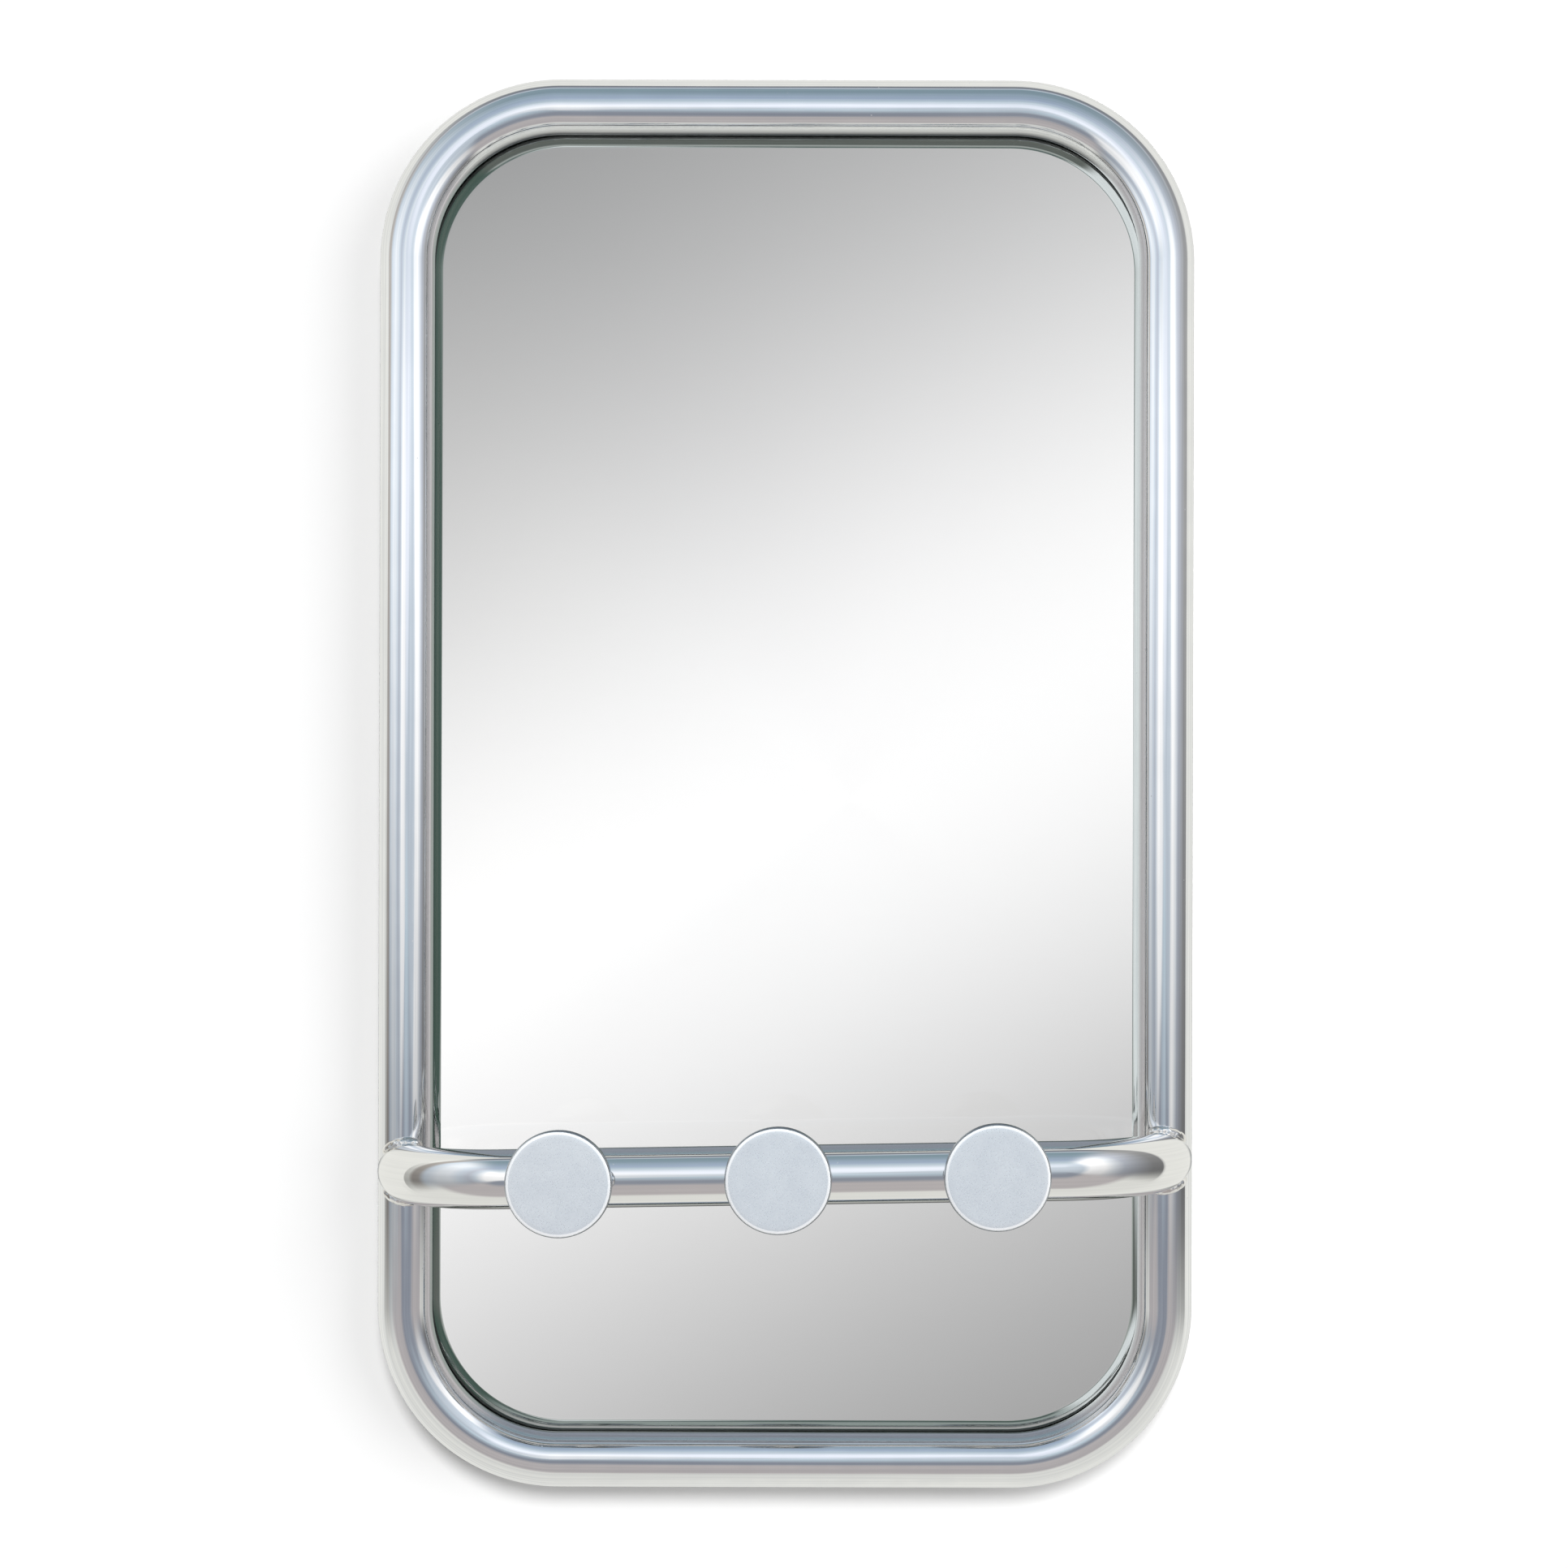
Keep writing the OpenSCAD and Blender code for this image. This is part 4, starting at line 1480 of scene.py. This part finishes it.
@dataclass
class Hook:
    """One hook: a disc with a rounded rim on a short stem."""

    side: Side
    rail: HookRail
    rim_out: float = 1.1 * MM
    rim_deep: float = 2.2 * MM
    ring: float = 0.9 * MM
    painted_dark_below: float = 0.82
    back_round: float = 1.0 * MM
    face_fall: float = 0.3 * MM
    face_slope: float = 3.4 * MM
    face_end: float = 20.0
    rim_start: float = 72.0
    stem_radius: float = 8 * MM
    stem_foot: float = 0.6 * MM
    sides: int = 160
    stem_sides: int = 64

    def build(self, disc_skins: list[bpy.types.Material], stem: bpy.types.Material) -> None:
        """Makes the disc and the stem.

        Args:
            disc_skins: Polish of the disc's back, satin of its front, its ring of painted highlight, and the
                painted shade of its rim and side.
            stem: Finish of the stem.
        """
        name = self.side.word
        disc = finish_piece(self.disc(), f"disc_{name}", disc_skins, [f"hook_disc_{name}"])
        stub = finish_piece(self.stem(), f"stem_{name}", [stem], [f"hook_stem_{name}"])
        disc.visible_transmission = stub.visible_transmission = False

    def disc(self) -> bmesh.types.BMesh:
        """Turns the disc, with an oval round on its front rim.

        Returns:
            The disc, with the material numbers 0 on its back, 1 on its face, 2 on its ring of painted
            highlight and 3 on its rim and side, in painted shade.
        """
        low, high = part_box(f"hook_disc_{self.side.word}")
        radius = (high.x - low.x) / 2
        thick = high.y - low.y
        inner = radius - self.rim_out
        flat = inner - self.face_slope
        back, fall, deep = self.back_round, self.face_fall, self.rim_deep
        profile = [Vector((reach, 0, thick)) for reach in (0, flat / 2, flat - FLAT_MARGIN)]
        profile += arc((flat, thick - fall), (self.face_slope, fall), 90, self.face_end, 8)
        edge = profile[-1]
        profile += arc((edge.x, edge.z - deep), (radius - edge.x, deep), self.rim_start, 0, 14)
        profile += arc((radius - back, back), (back, back), 0, -90, 6)
        profile += [Vector((radius / 2, 0, 0)), Vector((0, 0, 0))]
        centre = Vector(((low.x + high.x) / 2, high.y, (low.z + high.z) / 2))
        place = Matrix.Translation(centre) @ Matrix.Rotation(QUARTER_TURN, 4, "X")
        bm = turned(profile, place, self.sides)
        for face in bm.faces:
            reach = (face.calc_center_median() - centre).xz.length
            # Faces that turn well away from the front, on the rim and the side, get the painted shade.
            if abs(face.normal.y) < self.painted_dark_below:
                face.material_index = 3
            elif face.normal.y < 0:
                # The band of the face next to the rim gets the ring of painted highlight.
                face.material_index = 2 if reach > inner - self.ring else 1
        return bm

    def stem(self) -> bmesh.types.BMesh:
        """Turns the stem and cuts its foot to the round of the rail.

        Returns:
            The stem.
        """
        low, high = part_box(f"hook_disc_{self.side.word}")
        length = self.rail.y - high.y
        foot = self.stem_foot
        profile = [Vector((0, 0, 0)), Vector((self.stem_radius, 0, 0)),
                   Vector((self.stem_radius, 0, length - foot))]
        profile += arc((self.stem_radius + foot, length - foot), (foot, foot), 180, 90, 5)
        profile += [Vector((0, 0, length))]
        centre = Vector(((low.x + high.x) / 2, self.rail.y, (low.z + high.z) / 2))
        place = Matrix.Translation(centre) @ Matrix.Rotation(QUARTER_TURN, 4, "X")
        bm = turned(profile, place, self.stem_sides)
        reach = Matrix.Rotation(-self.rail.tilt, 3, "Y") @ (AXIS_X * 2 * self.stem_radius)
        return subtract(bm, rod(self.rail.radius, centre - reach, centre + reach))


@dataclass
class MirrorPane:
    """The glass with its silver layer, its board and its gasket."""

    tube: TubePlaces
    finishes: Finishes
    glass_inset: float = 2 * MM
    board_inset: float = 3 * MM
    frame_corner: float = 85 * MM
    glass_arris: float = 0.5 * MM
    board_arris: float = 0.3 * MM
    silver_bite: float = 0.02 * MM

    def build(self) -> None:
        """Makes the sheets and dresses the gasket."""
        looks = self.finishes
        glass, edge = looks.glass.make(), looks.glass_edge.make()
        self.sheet("glass_pane", "mirror_glass", self.glass_inset, self.glass_arris, [glass, edge])
        silver, paint = looks.silver.make(), looks.silver_paint.make()
        layer = self.sheet("silver_layer", "mirror_silvering", self.glass_inset, 0.0, [silver, paint],
                           bite=self.silver_bite)
        for polygon in layer.data.polygons:
            polygon.material_index = 0 if polygon.normal.y < -0.5 else 1
        board = looks.board.make()
        self.sheet("hardboard_back", "backing_board", self.board_inset, self.board_arris, [board, board])
        dress_nodes(looks.gasket.make(), "glass_gasket")

    def sheet(self, name: str, node: str, inset: float, arris: float, materials: list[bpy.types.Material],
              bite: float = 0.0) -> bpy.types.Object:
        """Makes one sheet in the place of its node.

        Args:
            name: The piece's name.
            node: The node that it stands for.
            inset: How far its edge stops inside the middle of the tube.
            arris: Width of its ground edges.
            materials: Those of its faces and of its edge.
            bite: How far its front sinks into the sheet before it.

        Returns:
            The piece.
        """
        low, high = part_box(node)
        bm = rounded_plate(half_w=high.x, half_h=(high.z - low.z) / 2, corner=self.frame_corner - inset,
                           middle_z=self.tube.middle_z, front=low.y - bite, back=high.y, arris=arris)
        return finish_piece(bm, name, materials, [node])


def dress_nodes(material: bpy.types.Material, *nodes: str) -> None:
    """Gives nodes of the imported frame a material.

    Args:
        material: The material.
        *nodes: The nodes' names.
    """
    for name in nodes:
        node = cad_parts[name]
        if node.material_slots:
            for material_slot in node.material_slots:
                material_slot.material = material
        else:
            node.data.materials.append(material)
    log.info("%s wears %s", ", ".join(nodes), material.name)


@dataclass
class Fixings:
    """What holds the glass from behind: bosses on the tube, clips over the board and screws."""

    tube: TubePlaces
    finishes: Finishes
    pitch: float = 240 * MM
    boss_radius: float = 4 * MM
    boss_off: float = 3 * MM
    clip_half: float = 6 * MM
    clip_in: float = 16 * MM
    clip_out: float = 7 * MM
    clip_corner: float = 1.5 * MM
    clip_soft: float = 0.25 * MM
    head_radius: float = 3.75 * MM
    head_round: float = 0.7 * MM
    socket_radius: float = 1.45 * MM
    socket_depth: float = 1.3 * MM
    sides: int = 48

    def spots(self) -> list[Matrix]:
        """Finds the places of the fixings on the middle of the tube.

        Returns:
            The places, with X outward and Z to the wall.
        """
        tube = self.tube
        to_wall = Matrix.Rotation(-QUARTER_TURN, 4, "X")
        found = []
        for side in (Side.RIGHT, Side.LEFT):
            turn = Matrix.Identity(4) if side is Side.RIGHT else Matrix.Rotation(2 * QUARTER_TURN, 4, "Y")
            for step in (-1, 0, 1):
                spot = Vector((side.value * tube.half_x, 0, tube.middle_z + step * self.pitch))
                found.append(Matrix.Translation(spot) @ turn @ to_wall)
        for height, turn in ((tube.top_z, -QUARTER_TURN), (tube.bottom_z, QUARTER_TURN)):
            found.append(Matrix.Translation((0, 0, height)) @ Matrix.Rotation(turn, 4, "Y") @ to_wall)
        return found

    def build(self) -> None:
        """Makes the three sets."""
        looks = self.finishes
        self.set_of(self.boss, "clip_boss_set", looks.clip_boss.make(), "clip_bosses")
        self.set_of(self.clip, "clip_strip_set", looks.steel_strip.make(), "retaining_clips")
        self.set_of(self.screw, "clip_screw_set", looks.steel_fastener.make(),
                    "clip_screws")

    def set_of(self, make: Callable[[Matrix], bmesh.types.BMesh], name: str, material: bpy.types.Material,
               node: str) -> None:
        """Repeats a fixing at every spot, as one piece.

        Args:
            make: Builds one fixing at a spot.
            name: The piece's name.
            material: Its material.
            node: The node that it stands for.
        """
        finish_piece(gather(make(spot) for spot in self.spots()), name, [material], [node])

    def boss(self, spot: Matrix) -> bmesh.types.BMesh:
        """Turns a boss and cuts its foot to the round of the tube.

        Args:
            spot: Its place.

        Returns:
            The boss.
        """
        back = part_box("clip_bosses")[1].y
        middle = spot @ Vector((self.boss_off, 0, 0))
        bar = rod(self.boss_radius, Vector((middle.x, back, middle.z)),
                  Vector((middle.x, self.tube.y, middle.z)), self.sides)
        along = spot.to_3x3() @ AXIS_Y * 3 * self.boss_radius
        centre = spot.to_translation() + AXIS_Y * self.tube.y
        return subtract(bar, rod(self.tube.radius, centre - along, centre + along))

    def clip(self, spot: Matrix) -> bmesh.types.BMesh:
        """Cuts a clip from strip, with round corners and soft edges.

        Args:
            spot: Its place.

        Returns:
            The clip.
        """
        low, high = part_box("retaining_clips")
        bm = bmesh.new()
        half = (self.clip_in + self.clip_out) / 2
        shift = (self.clip_out - self.clip_in) / 2
        bmesh.ops.create_grid(bm, x_segments=1, y_segments=1, size=1.0)
        bmesh.ops.scale(bm, vec=(half, self.clip_half, 1), verts=bm.verts[:])
        round_off(bm, bm.verts[:], self.clip_corner, 6, "VERTICES")
        grown = bmesh.ops.extrude_face_region(bm, geom=bm.faces[:])["geom"]
        bmesh.ops.translate(bm, verts=verts_of(grown), vec=AXIS_Z * (high.y - low.y))
        bmesh.ops.recalc_face_normals(bm, faces=bm.faces[:])
        round_off(bm, sharp_edges(bm), self.clip_soft, 2)
        bmesh.ops.transform(bm, matrix=spot @ Matrix.Translation((shift, 0, low.y)), verts=bm.verts[:])
        return bm

    def screw(self, spot: Matrix) -> bmesh.types.BMesh:
        """Turns a screw head and sinks its hexagonal socket.

        Args:
            spot: Its place.

        Returns:
            The screw head.
        """
        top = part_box("clip_screws")[1].y
        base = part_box("retaining_clips")[1].y
        height = top - base
        bm = bmesh.new()
        socket_floor = Matrix.Translation((0, 0, height - self.socket_depth))
        hexagon = bmesh.ops.create_circle(bm, cap_ends=True, segments=6, radius=self.socket_radius,
                                          matrix=socket_floor)["verts"]
        grown = bmesh.ops.extrude_edge_only(bm, edges=edges_at(hexagon))["geom"]
        bmesh.ops.translate(bm, verts=verts_of(grown), vec=AXIS_Z * self.socket_depth)
        lip = far_edges(grown)
        flat = self.head_radius - self.head_round
        rim = bmesh.ops.create_circle(bm, cap_ends=False, segments=self.sides, radius=flat,
                                      matrix=Matrix.Translation((0, 0, height)))["verts"]
        edges = edges_at(rim)
        bmesh.ops.bridge_loops(bm, edges=lip + edges)
        shoulder = arc((flat, height - self.head_round), (self.head_round, self.head_round), 90, 0, 5)
        for point in (*shoulder[1:], Vector((self.head_radius, 0, 0))):
            grown = bmesh.ops.extrude_edge_only(bm, edges=edges)["geom"]
            ring = verts_of(grown)
            reach = ring[0].co.xy.length
            bmesh.ops.scale(bm, vec=(point.x / reach, point.x / reach, 1), verts=ring)
            bmesh.ops.translate(bm, verts=ring, vec=AXIS_Z * (point.z - ring[0].co.z))
            edges = far_edges(grown)
        bmesh.ops.holes_fill(bm, edges=edges)
        bmesh.ops.recalc_face_normals(bm, faces=bm.faces[:])
        place = spot @ Matrix.Translation((self.boss_off, 0, base))
        bmesh.ops.transform(bm, matrix=place, verts=bm.verts[:])
        return bm


@dataclass
class WallSide:
    """What meets the wall: the two hanging straps above and the two rubber bumpers below."""

    tube: TubePlaces
    finishes: Finishes
    strap: float = 2.5 * MM
    strap_bend: float = 4.0 * MM
    hole_radius: float = 4 * MM
    bumper_round: float = 1.2 * MM
    sides: int = 64

    def build(self) -> None:
        """Makes the straps and the bumpers."""
        metal, rubber = self.finishes.hanger_strap.make(), self.finishes.bumper.make()
        for side in (Side.LEFT, Side.RIGHT):
            word = side.word
            hanger, bumper = f"hanger_{word}", f"wall_bumper_{word}"
            finish_piece(self.hanger(hanger), f"strap_{word}", [metal], [hanger])
            finish_piece(self.bumper(bumper), f"bumper_{word}", [rubber], [bumper])

    def end_bar(self, height: float) -> bmesh.types.BMesh:
        """Makes a bar in the place of the top or bottom tube, to cut with."""
        centre = Vector((0, self.tube.y, height))
        return rod(self.tube.radius, centre - AXIS_X * self.tube.half_x, centre + AXIS_X * self.tube.half_x)

    def hanger(self, node: str) -> bmesh.types.BMesh:
        """Bends a strap to a U, bores it and cuts its ends to the round of the tube.

        Args:
            node: The node that it stands for.

        Returns:
            The strap.
        """
        low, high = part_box(node)
        bm = bmesh.new()
        corners = ((low.x, self.tube.y), (low.x, high.y), (high.x, high.y), (high.x, self.tube.y))
        verts = [bmesh.ops.create_vert(bm, co=(x, y, low.z))["vert"][0] for x, y in corners]
        edges = [bm.edges.new(pair) for pair in zip(verts, verts[1:])]
        grown = bmesh.ops.extrude_edge_only(bm, edges=edges)["geom"]
        bmesh.ops.translate(bm, verts=verts_of(grown), vec=AXIS_Z * (high.z - low.z))
        round_off(bm, sharp_edges(bm), self.strap_bend, 10)
        inside = Vector(((low.x + high.x) / 2, self.tube.y, (low.z + high.z) / 2))
        face_away(bm, inside)
        bmesh.ops.solidify(bm, geom=bm.faces[:], thickness=self.strap)
        bmesh.ops.recalc_face_normals(bm, faces=bm.faces[:])
        bore = Vector((inside.x, high.y, inside.z))
        through = AXIS_Y * 2 * self.strap
        hole = rod(self.hole_radius, bore - through, bore + through, self.sides)
        return subtract(bm, hole, self.end_bar(self.tube.top_z))

    def bumper(self, node: str) -> bmesh.types.BMesh:
        """Moulds a rubber plug between the wall and the tube.

        Args:
            node: The node that it stands for.

        Returns:
            The plug.
        """
        low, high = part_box(node)
        radius = (high.x - low.x) / 2
        soft = self.bumper_round
        profile = [Vector((0, 0, 0)), Vector((radius - soft, 0, 0))]
        profile += arc((radius - soft, soft), (soft, soft), -90, 0, 8)
        profile += [Vector((radius, 0, -self.tube.y)), Vector((0, 0, -self.tube.y))]
        centre = Vector(((low.x + high.x) / 2, high.y, (low.z + high.z) / 2))
        place = Matrix.Translation(centre) @ Matrix.Rotation(QUARTER_TURN, 4, "X")
        bm = turned(profile, place, self.sides)
        return subtract(bm, self.end_bar(self.tube.bottom_z))


def face_away(bm: bmesh.types.BMesh, inside: Vector) -> None:
    """Turns the faces of an open shell away from a point inside it.

    Args:
        bm: The shell.
        inside: The point.
    """
    bmesh.ops.recalc_face_normals(bm, faces=bm.faces[:])
    bm.normal_update()
    if sum(face.normal.dot(face.calc_center_median() - inside) for face in bm.faces) < 0:
        bmesh.ops.reverse_faces(bm, faces=bm.faces[:])


def main() -> None:
    """Builds the studio and dresses the mirror, part by part."""
    logging.basicConfig(level=logging.INFO, format="%(name)s: %(message)s")
    tube = TubePlaces()
    Studio().build(tube)
    looks = Finishes()
    TubeFrame(tube, looks).build()
    rail = HookRail(tube, looks)
    rail.build()
    disc_looks = (looks.disc_rim, looks.disc_face, looks.disc_ring, looks.disc_side)
    disc_skins = [look.make() for look in disc_looks]
    stem, fastener = looks.hook_stem.make(), looks.steel_fastener.make()
    for side in Side:
        Hook(side, rail).build(disc_skins, stem)
        for node in (f"hook_stud_{side.word}", f"rivet_nut_{side.word}"):
            dress_nodes(fastener, node)
            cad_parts[node].visible_transmission = False
    MirrorPane(tube, looks).build()
    Fixings(tube, looks).build()
    WallSide(tube, looks).build()


if __name__ == "__main__":
    main()
